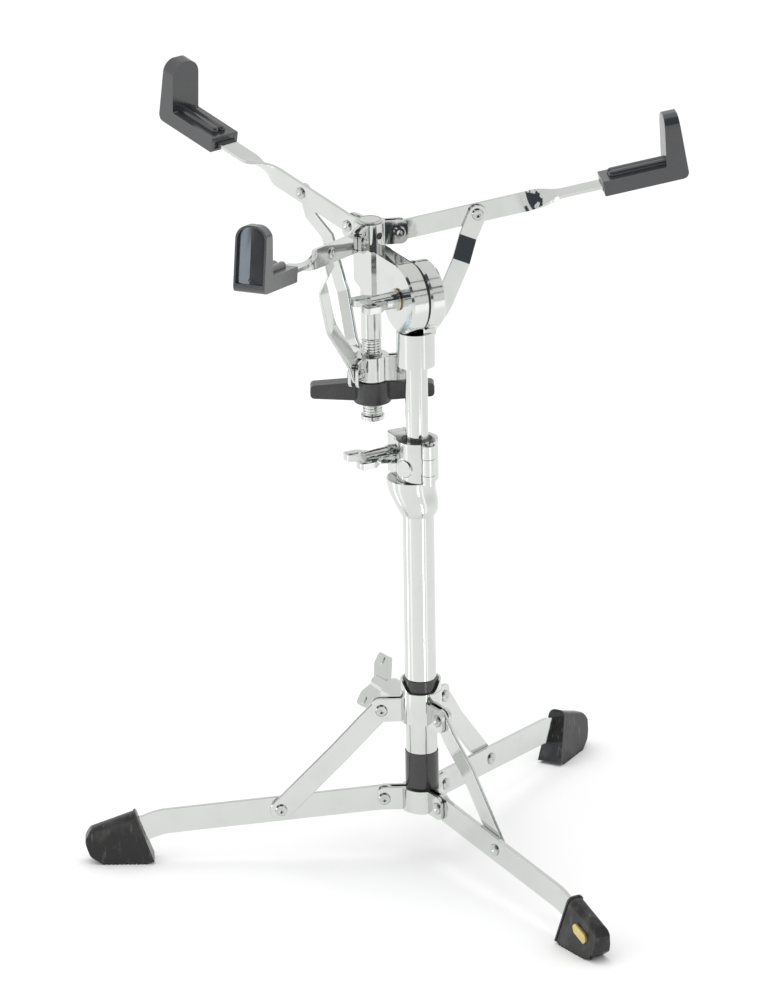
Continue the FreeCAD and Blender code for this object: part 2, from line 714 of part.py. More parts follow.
def foot(number):
    name = f"{LIMB_NAMES[number]}_foot"
    outline_points = foot_outline()
    rounds = [(size.foot_nose_round, (3, 4))]
    side_view = plate(name + "_block", outline_points, size.foot_width, rounds)
    shoe = common(name + "_shoe", [side_view, foot_arch(name, outline_points)])
    turn = size.leg_toe_slope - size.leg_slope
    slot_height = size.leg_strip_height + size.seat_gap * 2
    slot_width = size.leg_strip_thickness + size.seat_gap * 2
    slot = box(name + "_slot", size.leg_toe_length + size.seat_gap, slot_width, slot_height,
               at(zero, -slot_width / 2, -slot_height / 2))
    bend_place = leg_place() * at(size.leg_straight_length) * turned_about(vector(y=1), turn)
    slot.Placement = bend_place * slot.Placement
    tools = [slot] + foot_grooves(name, outline_points)
    keep(cut(name, shoe, tools), name, limb_frame(number))


def foot_arch(name, outline_points):
    """A bar along the shoe's sloping top with rounded upper edges."""
    half = size.foot_width / 2
    depth = size.foot_height * 2
    length = size.foot_length
    corners = [(-half, -depth), (half, -depth), (half, zero), (-half, zero)]
    bar = plate(name + "_arch", corners, length * 4, [(size.foot_round, (2, 3))], role="XY_Plane")
    rear_x, rear_z = outline_points[5]
    tilt = turned_about(vector(y=1), size.leg_toe_slope)
    bar.Placement = at(rear_x, zero, rear_z) * tilt * FreeCAD.Placement(vector(), FACING_X)
    return bar


def foot_grooves(name, outline_points):
    """Grooves across the sole, evenly spaced."""
    start = outline_points[0][0]
    end = outline_points[1][0]
    pitch = (end - start) / (FOOT_GROOVES + 1)
    width = size.foot_width + size.overrun * 2
    grooves = []
    for number in range(FOOT_GROOVES):
        x = start + pitch * (number + 1) - size.foot_groove_width / 2
        place = at(x, -width / 2, -size.overrun)
        depth = size.foot_groove_depth + size.overrun
        grooves.append(box(f"{name}_groove_{number}", size.foot_groove_width, width, depth, place))
    return grooves


# Sliding collar and braces

def brace_collar():
    bore = base_radius + size.slide_gap
    shell = bore + size.brace_bushing_wall
    seat = shell + size.seat_gap
    outer = seat + size.brace_collar_wall
    low = size.brace_pivot_height - size.brace_collar_drop
    high = low + size.brace_collar_height
    ring = cylinder("brace_collar_ring", outer, size.brace_collar_height, at(z=low))
    middle = size.brace_pivot_height
    height = size.brace_flange_height
    reach = size.brace_flange_reach
    plates = flange_plates("brace_collar", reach, brace_half_gap, middle, height, limb_frames)
    cuts = flange_cuts("brace_collar", outer, reach, brace_half_gap, middle, height,
                       size.brace_pivot_radius, size.brace_pivot_height, limb_frames)
    lock = about_z(size.lock_azimuth)
    lock_height = middle
    boss_radius = size.lock_boss_diameter / 2
    boss = cylinder("brace_collar_boss", boss_radius, size.lock_boss_reach, along_x(z=lock_height))
    boss.Placement = lock * boss.Placement
    bolt_hole_radius = bolt_radius + size.running_gap
    bolt_hole = cylinder("brace_collar_bolt_hole", bolt_hole_radius, size.lock_boss_reach + size.overrun,
                         along_x(z=lock_height))
    bolt_hole.Placement = lock * bolt_hole.Placement
    collar_bore = cylinder("brace_collar_bore", seat, size.brace_collar_height + size.overrun * 2,
                           at(z=low - size.overrun))
    blank = fuse("brace_collar_blank", [ring, boss] + plates)
    keep(cut("brace_collar", blank, cuts + [collar_bore, bolt_hole]), "brace_collar")
    sleeve = pipe("brace_bushing_sleeve", bore, shell, low, high + size.brace_bushing_proud)
    bushing_hole = cylinder("brace_bushing_hole", bolt_hole_radius, size.lock_boss_reach,
                            along_x(z=lock_height))
    bushing_hole.Placement = lock * bushing_hole.Placement
    keep(cut("brace_collar_bushing", sleeve, [bushing_hole]), "brace_collar_bushing")
    grip = (brace_half_gap + size.flange_thickness) * 2
    pivot_group("brace_pivot_rivets", grip, size.brace_pivot_radius, size.brace_pivot_height, limb_frames)
    shank = size.lock_boss_reach - base_radius
    bolt_place = lock * along_x(size.lock_boss_reach + size.free_gap, zero, lock_height)
    wing_bolt("leg_lock_wing_bolt", shank, size.leg_lock_wing_span, size.leg_lock_wing_angle, bolt_place)


def joggled_strip(name, points, rounds, reach, steps, thickness):
    """A flat strip cut to an outline; steps lists (x, y) where it bends aside from y = 0."""
    half = thickness / 2
    blank = plate(name + "_blank", points, reach, rounds)
    path = [(-reach, zero)] + steps + [(reach, steps[-1][1])]
    near_face = [(x, y - half) for x, y in path]
    far_face = [(x, y + half) for x, y in reversed(path)]
    slab = plate(name + "_slab", near_face + far_face, reach * 2, role="XY_Plane")
    return common(name + "_strip", [blank, slab])


def brace(number):
    name = f"{LIMB_NAMES[number]}_brace"
    across = leg_rivet_radius - size.brace_pivot_radius
    fall = size.brace_pivot_height - leg_rivet_height
    length = distance(across, fall)
    slope = direction(across, fall)
    half = size.brace_width / 2
    corners = [(-half, -half), (length + half, -half), (length + half, half), (-half, half)]
    rounds = [(half * END_ROUND_SHARE, (0, 1, 2, 3))]
    steps = [(size.brace_joggle_start, zero), (size.brace_joggle_end, brace_side)]
    strip = joggled_strip(name, corners, rounds, length + size.brace_width, steps, size.brace_thickness)
    depth = (brace_side + size.brace_thickness) * 2
    pivot = cylinder(name + "_pivot_hole", pin_hole_radius, depth, along_y(zero, -depth / 2, zero))
    rivet = cylinder(name + "_rivet_hole", seat_hole_radius, depth, along_y(length, -depth / 2, zero))
    place = at(size.brace_pivot_radius, zero, size.brace_pivot_height) * turned_about(vector(y=1), slope)
    place = limb_frame(number) * place
    keep(cut(name, strip, [pivot, rivet]), name, place)
    head = f"{LIMB_NAMES[number]}_brace_rivet_head"
    half_thickness = size.brace_thickness / 2
    rivet_half = half_rivet(head, brace_side - half_thickness, brace_side + half_thickness)
    keep(rivet_half, head, place * along_y(length, zero, zero))


# Height receiver and clamp

def ring_section(name, radius, offset, height):
    circle = doc.addObject("Part::Circle", name)
    bind(circle, Radius=radius)
    circle.Placement = about_z(size.receiver_flare_azimuth) * at(offset, zero, height)
    return circle


def receiver_skirt():
    bottom = size.receiver_bottom_height
    shoulder = bottom + size.receiver_shoulder_rise
    middle = bottom + size.receiver_height / 2
    loft = doc.addObject("Part::Loft", "receiver_skirt")
    loft.Sections = [
        ring_section("receiver_neck", size.receiver_neck_radius, zero, bottom),
        ring_section("receiver_shoulder", size.receiver_shoulder_radius, zero, shoulder),
        ring_section("receiver_middle", size.receiver_middle_radius, size.receiver_middle_offset, middle),
        ring_section("receiver_mouth", size.receiver_mouth_radius, size.receiver_mouth_offset, receiver_seam),
    ]
    loft.Solid = True
    loft.Ruled = False
    return loft


def clamp_half(name, low, height, side):
    """Half of the split clamp in the tilter's frame: side is 1 for the jaw and -1 for the fixed half."""
    outer = bushing_radius + size.free_gap + size.clamp_wall
    ring = cylinder(name + "_ring", outer, height, at(z=low))
    reach = size.clamp_lug_reach
    depth = size.clamp_lug_depth
    corners = [(zero, -depth), (reach, -depth), (reach, depth), (zero, depth)]
    lug = plate(name + "_lug", corners, height, [(size.clamp_lug_round, (1, 2))], role="XY_Plane")
    lug.Placement = at(z=low + height / 2)
    far = reach + size.hinge_distance
    near = size.clamp_split / 2
    keep_low = (-far, near, low) if side > 0 else (-far, -far, low)
    keep_high = (far, far, low + height) if side > 0 else (far, -near, low + height)
    side_block = block(name + "_side", keep_low, keep_high)
    return common(name + "_half", [fuse(name + "_round", [ring, lug]), side_block])


def knuckle(name, low, high, extra=None):
    radius = size.hinge_knuckle_diameter / 2
    if extra is not None:
        radius = radius + extra
    return cylinder(name, radius, high - low, at(-size.hinge_distance, zero, low))


def receiver():
    bottom = size.receiver_bottom_height
    lower_knuckle_top = receiver_seam + size.hinge_lower_knuckle
    upper_knuckle_low = lower_knuckle_top + size.hinge_middle_knuckle
    skirt = receiver_skirt()
    fixed = clamp_half("receiver_clamp", receiver_seam, size.clamp_height, -1)
    lower = knuckle("receiver_lower_knuckle", receiver_seam, lower_knuckle_top)
    upper = knuckle("receiver_upper_knuckle", upper_knuckle_low, clamp_top)
    for item in (fixed, lower, upper):
        item.Placement = tilter_frame * item.Placement
    blank = fuse("receiver_blank", [skirt, fixed, lower, upper])
    socket_radius = base_radius + size.seat_gap
    socket = cylinder("receiver_socket", socket_radius, size.receiver_socket_depth + size.overrun,
                      at(z=bottom - size.overrun))
    bore_height = size.receiver_height + size.clamp_height
    bore = cylinder("receiver_bore", bushing_radius + size.running_gap, bore_height + size.overrun,
                    at(z=bottom))
    jaw_room = knuckle("receiver_jaw_room", lower_knuckle_top, upper_knuckle_low, size.free_gap)
    pin_hole_room = size.hinge_pin_diameter / 2 + size.seat_gap
    pin_hole = cylinder("receiver_pin_hole", pin_hole_room, size.clamp_height + size.overrun,
                        at(-size.hinge_distance, zero, receiver_seam))
    bolt_room = bolt_radius + size.clamp_bolt_play
    bolt_start = -size.clamp_bolt_grip - size.clamp_split / 2
    bolt_hole = cylinder("receiver_bolt_hole", bolt_room, size.clamp_bolt_grip + size.clamp_split,
                         along_y(size.clamp_bolt_distance, bolt_start, receiver_seam + size.clamp_bolt_rise))
    for item in (jaw_room, pin_hole, bolt_hole):
        item.Placement = tilter_frame * item.Placement
    keep(cut("height_receiver", blank, [socket, bore, jaw_room, pin_hole, bolt_hole]), "height_receiver")


def clamp_jaw():
    low = receiver_seam + size.free_gap
    high = clamp_top
    knuckle_low = receiver_seam + size.hinge_lower_knuckle + size.free_gap
    knuckle_high = receiver_seam + size.hinge_lower_knuckle + size.hinge_middle_knuckle - size.free_gap
    half = clamp_half("jaw", low, high - low, 1)
    own_knuckle = knuckle("jaw_knuckle", knuckle_low, knuckle_high)
    lower_room = knuckle("jaw_lower_room", low - size.overrun, knuckle_low, size.free_gap)
    upper_room = knuckle("jaw_upper_room", knuckle_high, high + size.overrun, size.free_gap)
    body = fuse("jaw_blank", [cut("jaw_relieved", half, [lower_room, upper_room]), own_knuckle])
    bore = cylinder("jaw_bore", bushing_radius + size.free_gap, size.clamp_height + size.overrun,
                    at(z=low - size.overrun / 2))
    pin_hole = cylinder("jaw_pin_hole", size.hinge_pin_diameter / 2 + size.running_gap, size.clamp_height,
                        at(-size.hinge_distance, zero, low))
    bolt_hole = cylinder("jaw_bolt_hole", bolt_radius + size.running_gap, size.clamp_lug_depth + size.overrun,
                         along_y(size.clamp_bolt_distance, zero, receiver_seam + size.clamp_bolt_rise))
    keep(cut("clamp_jaw", body, [bore, pin_hole, bolt_hole]), "clamp_jaw", tilter_frame)
    pin_radius = size.hinge_pin_diameter / 2
    pin = turning("clamp_hinge_pin", [
        (zero, receiver_seam + size.seat_gap),
        (pin_radius, receiver_seam + size.seat_gap),
        (pin_radius, clamp_top),
        (size.hinge_head_diameter / 2, clamp_top),
        (size.hinge_head_diameter / 2, clamp_top + size.hinge_head_height / 2),
        (pin_radius, clamp_top + size.hinge_head_height),
        (zero, clamp_top + size.hinge_head_height),
    ])
    keep(pin, "clamp_hinge_pin", tilter_frame * at(-size.hinge_distance))
    shank = size.clamp_lug_depth + size.clamp_bolt_grip
    bolt_place = along_y(size.clamp_bolt_distance, size.clamp_lug_depth, receiver_seam + size.clamp_bolt_rise)
    wing_bolt("height_wing_bolt", shank, size.height_wing_span, zero, tilter_frame * bolt_place)


def height_bushing():
    bore = upper_radius + size.slide_gap
    spigot = base_radius - size.base_tube_wall - size.running_gap
    keep(turning("height_bushing", [
        (bore, base_tube_top - size.bushing_depth),
        (spigot, base_tube_top - size.bushing_depth),
        (spigot, base_tube_top + size.running_gap),
        (bushing_radius, base_tube_top + size.running_gap),
        (bushing_radius, clamp_top),
        (bore, clamp_top),
    ]), "height_bushing")


# Upper tube and tilter

def upper_tube():
    top = tilter_sleeve_bottom + size.tilter_sleeve_depth
    bore = upper_radius - size.upper_tube_wall
    keep(pipe("upper_tube", bore, upper_radius, size.upper_tube_end_height, top), "upper_tube")


def disc(name, start, thickness):
    """A rounded disc about the tilt axis, in the tilter's frame."""
    bevel = size.tilter_disc_round
    body = turning(name, [
        (zero, zero),
        (disc_radius - bevel, zero),
        (disc_radius, bevel),
        (disc_radius, thickness - bevel),
        (disc_radius - bevel, thickness),
        (zero, thickness),
    ])
    body.Placement = along_y(zero, start, size.tilt_height)
    return body


def tilter_base():
    sleeve_radius = size.tilter_sleeve_diameter / 2
    sleeve_top = size.tilt_height - disc_radius - size.free_gap
    sleeve_height = sleeve_top - tilter_sleeve_bottom
    sleeve = cylinder("tilter_sleeve", sleeve_radius, sleeve_height, at(z=tilter_sleeve_bottom))
    disc_start = -(size.friction_disc_thickness / 2 + size.tilter_base_disc)
    face = -(size.friction_disc_thickness / 2)
    base_disc = disc("tilter_base_disc_form", disc_start, size.tilter_base_disc)
    half_neck = size.tilter_neck_width / 2
    bevel = size.tilter_disc_round
    neck = block("tilter_neck", (-half_neck, disc_start + bevel, sleeve_top - bevel),
                 (half_neck, face, size.tilt_height))
    blank = fuse("tilter_base_blank", [sleeve, base_disc, neck])
    bore_depth = size.tilter_sleeve_depth + size.seat_gap + size.overrun
    bore = cylinder("tilter_bore", upper_radius + size.seat_gap, bore_depth,
                    at(z=tilter_sleeve_bottom - size.overrun))
    bolt_depth = size.tilt_bolt_grip + size.overrun
    bolt_hole = cylinder("tilter_bolt_hole", bolt_radius + size.running_gap, bolt_depth,
                         along_y(zero, face - size.tilt_bolt_grip, size.tilt_height))
    keep(cut("tilter_base", blank, [bore, bolt_hole]), "tilter_base", tilter_frame)


def friction_disc():
    half = size.friction_disc_thickness / 2
    inner = bolt_radius + size.free_gap
    outer = size.friction_disc_diameter / 2
    place = tilter_frame * along_y(z=size.tilt_height)
    keep(pipe("friction_disc", inner, outer, -half, half), "friction_disc", place)


def tilter_arm():
    arm_start = arm_disc_start + size.running_gap
    arm_thickness = size.tilter_arm_disc - size.running_gap
    arm_disc = disc("tilter_arm_disc_form", arm_start, arm_thickness)
    end = size.post_offset + size.web_end_margin
    heel = size.post_offset - post_radius
    taper_x = disc_radius * (1 - WEB_TAPER_SHARE)
    taper_z = disc_radius * WEB_TAPER_SHARE
    corners = [
        (zero, size.web_top_rise),
        (taper_x, -taper_z),
        (heel, -size.web_heel_drop),
        (end, -size.web_end_drop),
        (end, size.web_top_rise),
    ]
    web = plate("tilter_web", corners, arm_thickness, [(size.web_round, (2, 3))])
    web.Placement = at(zero, arm_start + arm_thickness / 2, size.tilt_height)
    back = size.post_side - post_radius - size.web_post_cover
    front = size.post_side + post_radius + size.web_post_cover
    block_corners = [
        (heel - size.web_end_margin, size.web_top_rise),
        (heel - size.web_end_margin, -size.web_heel_drop),
        (heel, -size.web_heel_drop),
        (end, -size.web_end_drop),
        (end, size.web_top_rise),
    ]
    post_block = plate("tilter_post_block", block_corners, front - back, [(size.web_round, (2, 3))])
    post_block.Placement = at(zero, (front + back) / 2, size.tilt_height)
    blank = fuse("tilter_arm_blank", [arm_disc, web, post_block])
    post_hole = cylinder("tilter_post_hole", post_radius + size.seat_gap, size.tilter_disc_diameter * 2,
                         at(size.post_offset, size.post_side, size.tilt_height - size.tilter_disc_diameter))
    bolt_depth = size.tilter_arm_disc + size.overrun * 2
    bolt_hole = cylinder("tilter_arm_bolt_hole", bolt_radius + size.running_gap, bolt_depth,
                         along_y(zero, arm_start - size.overrun, size.tilt_height))
    keep(cut("tilter_arm", blank, [post_hole, bolt_hole]), "tilter_arm", tilter_frame)
    shank = arm_disc_face + size.free_gap + size.friction_disc_thickness / 2 + size.tilt_bolt_grip
    bolt_place = along_y(zero, arm_disc_face + size.free_gap, size.tilt_height)
    wing_bolt("tilt_wing_bolt", shank, size.tilt_wing_span, zero, tilter_frame * bolt_place)


# Basket post, hub, carriage and nut

def thread_profile():
    """Half section of the post: plain shaft above, ridges below."""
    crest = float(size.thread_diameter) / 2
    root = crest - float(size.thread_depth)
    pitch = float(size.thread_pitch)
    low = float(post_end_height)
    high = float(thread_top_height)
    top = float(hub_top)
    count = int((high - low) / pitch)
    points = [vector(0, 0, low), vector(root, 0, low)]
    for number in range(count):
        z = low + number * pitch
        points += [vector(crest, 0, z + pitch / 4), vector(crest, 0, z + pitch / 2)]
        points += [vector(root, 0, z + pitch * 3 / 4), vector(root, 0, z + pitch)]
    shaft = float(post_radius)
    points += [vector(shaft, 0, low + count * pitch + shaft - root), vector(shaft, 0, top), vector(0, 0, top)]
    return points


def basket_post():
    post = doc.addObject("Part::Feature", "basket_post")
    points = thread_profile()
    section = Part.Face(Part.makePolygon(points + points[:1]))
    post.Shape = section.revolve(vector(), vector(z=1), 360)
    keep(post, "basket_post", post_axis_place)
    low = post_end_height + size.retainer_rise
    ring = pipe("post_retainer", size.thread_diameter / 2 + size.seat_gap, size.retainer_diameter / 2,
                low, low + size.retainer_thickness)
    keep(ring, "post_retainer", post_axis_place)


def basket_hub():
    radius = size.hub_diameter / 2
    ring = cylinder("basket_hub_ring", radius, size.hub_height, at(z=hub_bottom))
    reach = size.hub_flange_reach
    middle = arm_pivot_height
    plates = flange_plates("basket_hub", reach, arm_half_gap, middle, size.hub_height, arm_local_frames)
    cuts = flange_cuts("basket_hub", radius, reach, arm_half_gap, middle, size.hub_height,
                       size.arm_pivot_radius, middle, arm_local_frames)
    cuts.append(cylinder("basket_hub_bore", post_radius + size.seat_gap, size.hub_height + size.overrun * 2,
                         at(z=hub_bottom - size.overrun)))
    screw_frame = about_z(float(size.basket_azimuth) - THIRD_TURN / 2)
    screw_room = size.set_screw_diameter / 2 + size.seat_gap
    screw_hole = cylinder("basket_hub_screw_hole", screw_room, radius + size.overrun, along_x(z=middle))
    screw_hole.Placement = screw_frame * screw_hole.Placement
    blank = fuse("basket_hub_blank", [ring] + plates)
    keep(cut("basket_hub", blank, cuts + [screw_hole]), "basket_hub", post_axis_place)
    cap = turning("hub_cap", [
        (zero, hub_top),
        (size.hub_cap_diameter / 2, hub_top),
        (size.hub_cap_diameter / 2, hub_top + size.hub_cap_thickness / 2),
        (size.hub_cap_diameter / 2 - size.hub_cap_thickness / 2, hub_top + size.hub_cap_thickness),
        (zero, hub_top + size.hub_cap_thickness),
    ])
    keep(cap, "hub_cap", post_axis_place)
    start = post_radius + size.seat_gap
    screw = cylinder("hub_set_screw", size.set_screw_diameter / 2, radius - size.set_screw_sink - start, at())
    keep(screw, "hub_set_screw", post_axis_place * screw_frame * along_x(start, zero, arm_pivot_height))
    grip = (arm_half_gap + size.flange_thickness) * 2
    pivot_group("arm_pivot_rivets", grip, size.arm_pivot_radius, arm_pivot_height, arm_frames)


def carriage():
    radius = size.carriage_diameter / 2
    middle = carriage_pivot_height
    ring = cylinder("carriage_ring", radius, size.carriage_height, at(z=carriage_bottom))
    aside = at(y=-size.carriage_lug_offset)
    frames = [frame * aside for frame in arm_local_frames]
    reach = size.carriage_lug_reach
    plates = flange_plates("carriage", reach, strut_half_gap, middle, size.carriage_height, frames)
    cuts = flange_cuts("carriage", radius, reach, strut_half_gap, middle, size.carriage_height,
                       size.carriage_pivot_radius, middle, frames)
    bore_height = size.carriage_height + size.overrun * 2
    cuts.append(cylinder("carriage_bore", post_radius + size.slide_gap, bore_height,
                         at(z=carriage_bottom - size.overrun)))
    keep(cut("carriage", fuse("carriage_blank", [ring] + plates), cuts), "carriage", post_axis_place)
    grip = (strut_half_gap + size.flange_thickness) * 2
    pin_frames = [frame * aside for frame in arm_frames]
    pivot_group("strut_pivot_pins", grip, size.carriage_pivot_radius, middle, pin_frames)


def basket_nut():
    bottom = nut_top - size.nut_height
    hub = cylinder("basket_nut_hub", size.nut_hub_diameter / 2, size.nut_height, at(z=bottom))
    root = size.nut_wing_root_height / 2
    tip = size.nut_wing_tip_height / 2
    reach = size.nut_wing_radius
    middle = nut_top - size.nut_wing_root_height / 2
    corners = [(-reach, -tip), (zero, -root), (reach, -tip), (reach, tip), (zero, root), (-reach, tip)]
    wings = plate("basket_nut_wings", corners, size.nut_wing_width, [(size.nut_wing_round, (0, 2, 3, 5))])
    wings.Placement = at(z=middle)
    insert_radius = size.nut_insert_diameter / 2
    bore = cylinder("basket_nut_bore", insert_radius + size.seat_gap, size.nut_height + size.overrun * 2,
                    at(z=bottom - size.overrun))
    keep(cut("basket_nut", fuse("basket_nut_blank", [hub, wings]), [bore]), "basket_nut", post_axis_place)
    insert = pipe("nut_insert", size.thread_diameter / 2 + size.slide_gap, insert_radius, bottom, nut_top)
    keep(insert, "nut_insert", post_axis_place)


# Arms, grips and struts

def twist_shape():
    """The quarter twist between the upright and the flat part of an arm."""
    start = float(size.arm_twist_start)
    length = float(size.arm_twist_length)
    half_width = float(size.arm_width) / 2
    half_thickness = float(size.arm_thickness) / 2
    wires = []
    for station in range(TWIST_STATIONS):
        share = station / (TWIST_STATIONS - 1)
        angle = math.pi / 2 * share * share * (3 - 2 * share)
        wide = vector(0, math.sin(angle), math.cos(angle)) * half_width
        thin = vector(0, math.cos(angle), -math.sin(angle)) * half_thickness
        middle = vector(start + length * share)
        corners = [middle + wide + thin, middle + wide - thin, middle - wide - thin, middle - wide + thin]
        wires.append(Part.makePolygon(corners + corners[:1]))
    return Part.makeLoft(wires, True, False)


def arm_place(number):
    tilt = turned_about(vector(y=1), -float(size.arm_slope))
    return arm_frame(number) * at(size.arm_pivot_radius, zero, arm_pivot_height) * tilt


def arm(number):
    name = f"{ARM_NAMES[number]}_arm"
    half_width = size.arm_width / 2
    half_thickness = size.arm_thickness / 2
    twist_end = size.arm_twist_start + size.arm_twist_length
    corners = [(-half_width, -half_width), (size.arm_twist_start, -half_width),
               (size.arm_twist_start, half_width), (-half_width, half_width)]
    upright = plate(name + "_upright", corners, size.arm_thickness, [(half_width * END_ROUND_SHARE, (0, 3))])
    twist = doc.addObject("Part::Feature", name + "_twist")
    twist.Shape = twist_shape()
    flat = block(name + "_flat", (twist_end, -half_width, -half_thickness),
                 (size.arm_length, half_width, half_thickness))
    depth = size.arm_thickness + size.overrun * 2
    pivot = cylinder(name + "_pivot_hole", pin_hole_radius, depth, along_y(zero, -depth / 2, zero))
    rivet_place = along_y(size.strut_rivet_distance, -depth / 2, zero)
    rivet = cylinder(name + "_rivet_hole", seat_hole_radius, depth, rivet_place)
    place = arm_place(number)
    keep(cut(name, fuse(name + "_blank", [upright, twist, flat]), [pivot, rivet]), name, place)
    tail = f"{ARM_NAMES[number]}_arm_rivet_tail"
    rivet_half = half_rivet(tail, -half_thickness, half_thickness)
    keep(rivet_half, tail, place * along_y(size.strut_rivet_distance, zero, zero))


def grip(number):
    name = f"{ARM_NAMES[number]}_grip"
    start = size.grip_start
    end = start + size.grip_length
    half = size.grip_base_thickness / 2
    top = size.grip_height - half
    corners = [
        (start, -half),
        (end, -half),
        (end, top),
        (end - size.grip_top_thickness, top),
        (end - size.grip_root_thickness, half),
        (start, half),
    ]
    rounds = [(size.grip_corner_round, (1, 4))]
    side_view = plate(name + "_form", corners, size.grip_width, rounds)
    half_width = size.grip_width / 2
    front_corners = [(-half_width, -half), (half_width, -half), (half_width, top), (-half_width, top)]
    crown = [(size.grip_top_round, (2, 3))]
    front_view = plate(name + "_crown", front_corners, end * 2 + size.overrun, crown, role="XY_Plane")
    front_view.Placement = FreeCAD.Placement(vector(), FACING_X)
    form = common(name + "_blank", [side_view, front_view])
    slot_width = size.arm_width + size.seat_gap * 2
    slot_height = size.arm_thickness + size.seat_gap * 2
    slot_length = size.arm_length - start + size.seat_gap + size.overrun
    slot = box(name + "_slot", slot_length, slot_width, slot_height,
               at(start - size.overrun, -slot_width / 2, -slot_height / 2))
    keep(cut(name, form, [slot]), name, arm_place(number))


def strut_outline(upper_length, lower_length, kink):
    """The kinked strip in its own frame: kink at the origin, upper part along +x."""
    half = size.strut_width / 2
    miter = half * tangent(kink / 2)
    foot_x = -((lower_length + half) * cosine(kink))
    foot_z = -((lower_length + half) * sine(kink))
    return [
        (foot_x + half * sine(kink), foot_z - half * cosine(kink)),
        (miter, -half),
        (upper_length + half, -half),
        (upper_length + half, half),
        (-miter, half),
        (foot_x - half * sine(kink), foot_z + half * cosine(kink)),
    ]


def strut(number):
    name = f"{ARM_NAMES[number]}_strut"
    upper_across = strut_rivet_radius - size.strut_kink_radius
    upper_rise = strut_rivet_height - strut_kink_height
    lower_across = size.strut_kink_radius - size.carriage_pivot_radius
    lower_rise = strut_kink_height - carriage_pivot_height
    upper_length = distance(upper_across, upper_rise)
    lower_length = distance(lower_across, lower_rise)
    upper_angle = direction(upper_across, upper_rise)
    kink = direction(lower_across, lower_rise) - upper_angle
    half = size.strut_width / 2
    points = strut_outline(upper_length, lower_length, kink)
    rounds = [(half * END_ROUND_SHARE, (0, 2, 3, 5))]
    reach = upper_length + lower_length + size.strut_width
    upper_shift = size.carriage_lug_offset - strut_side
    steps = [
        (-size.strut_bow_start, zero),
        (-size.strut_bow_end, -size.strut_bow),
        (size.strut_joggle_start, -size.strut_bow),
        (size.strut_joggle_end, upper_shift),
    ]
    strip = joggled_strip(name, points, rounds, reach, steps, size.strut_thickness)
    depth = (strut_side + size.strut_thickness) * 2
    foot_x = -(lower_length * cosine(kink))
    foot_z = -(lower_length * sine(kink))
    pivot = cylinder(name + "_pivot_hole", pin_hole_radius, depth, along_y(foot_x, -depth / 2, foot_z))
    rivet = cylinder(name + "_rivet_hole", seat_hole_radius, depth, along_y(upper_length, -depth / 2, zero))
    place = at(size.strut_kink_radius, -size.carriage_lug_offset, strut_kink_height)
    place = arm_frame(number) * place * turned_about(vector(y=1), -float(upper_angle))
    keep(cut(name, strip, [pivot, rivet]), name, place)
    head = f"{ARM_NAMES[number]}_strut_rivet_head"
    half_thickness = size.strut_thickness / 2
    rivet_half = half_rivet(head, strut_side - half_thickness, strut_side + half_thickness)
    keep(rivet_half, head, place * at(upper_length, size.carriage_lug_offset) * turned_about(vector(x=1), 90))


for build in (base_tube, leg_collar, stop_sleeve, brace_collar, receiver, clamp_jaw, height_bushing,
              upper_tube, tilter_base, friction_disc, tilter_arm, basket_post, basket_hub, carriage,
              basket_nut):
    build()
for limb in range(3):
    leg(limb)
    foot(limb)
    brace(limb)
for spoke in range(3):
    arm(spoke)
    grip(spoke)
    strut(spoke)
doc.recompute()

for item in doc.Objects:
    if "Invalid" in item.State or "Error" in item.State:
        raise RuntimeError(f"{item.Name} failed: {item.State}")
for item in pieces:
    if item.Shape.isNull() or not item.Shape.isValid():
        raise RuntimeError(f"{item.Label} has no valid shape")

os.makedirs("parts", exist_ok=True)
for item in pieces:
    item.Shape.exportStep(os.path.join("parts", item.Label + ".step"))
print(len(pieces), "sub-parts")
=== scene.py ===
# Studio scene of a snare drum stand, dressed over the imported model.
import json
import math

import bmesh
import bpy
from mathutils import Matrix, Vector


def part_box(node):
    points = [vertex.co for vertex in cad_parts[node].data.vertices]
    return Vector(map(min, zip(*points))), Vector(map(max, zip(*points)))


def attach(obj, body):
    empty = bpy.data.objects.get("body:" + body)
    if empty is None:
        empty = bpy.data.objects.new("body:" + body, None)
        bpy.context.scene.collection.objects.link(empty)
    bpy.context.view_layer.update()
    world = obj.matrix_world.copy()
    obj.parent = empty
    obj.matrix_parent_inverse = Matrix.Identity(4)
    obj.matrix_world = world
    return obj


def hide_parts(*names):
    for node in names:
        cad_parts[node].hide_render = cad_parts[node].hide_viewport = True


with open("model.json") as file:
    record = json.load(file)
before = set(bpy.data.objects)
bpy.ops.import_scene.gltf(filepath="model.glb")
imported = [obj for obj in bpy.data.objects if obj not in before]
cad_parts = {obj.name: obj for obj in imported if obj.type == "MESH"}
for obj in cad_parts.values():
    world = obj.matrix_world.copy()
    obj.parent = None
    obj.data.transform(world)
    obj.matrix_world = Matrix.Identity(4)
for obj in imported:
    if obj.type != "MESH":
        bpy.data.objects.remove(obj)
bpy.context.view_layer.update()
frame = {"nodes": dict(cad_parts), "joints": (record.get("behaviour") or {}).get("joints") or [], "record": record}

# Frame
record = frame["record"]
nodes = frame["nodes"]
joint_of = {joint["child"]: joint for joint in frame["joints"]}
slot_of = {part["node"]: part["material_slot"] for part in record["subparts"]}
bodies = record["behaviour"]["bodies"]
body_of = {node: body for body, members in bodies.items() for node in members}
link = bpy.context.scene.collection.objects.link
LEG_SIDES = ("left", "front", "rear")
ARM_SIDES = ("right", "rear", "front")

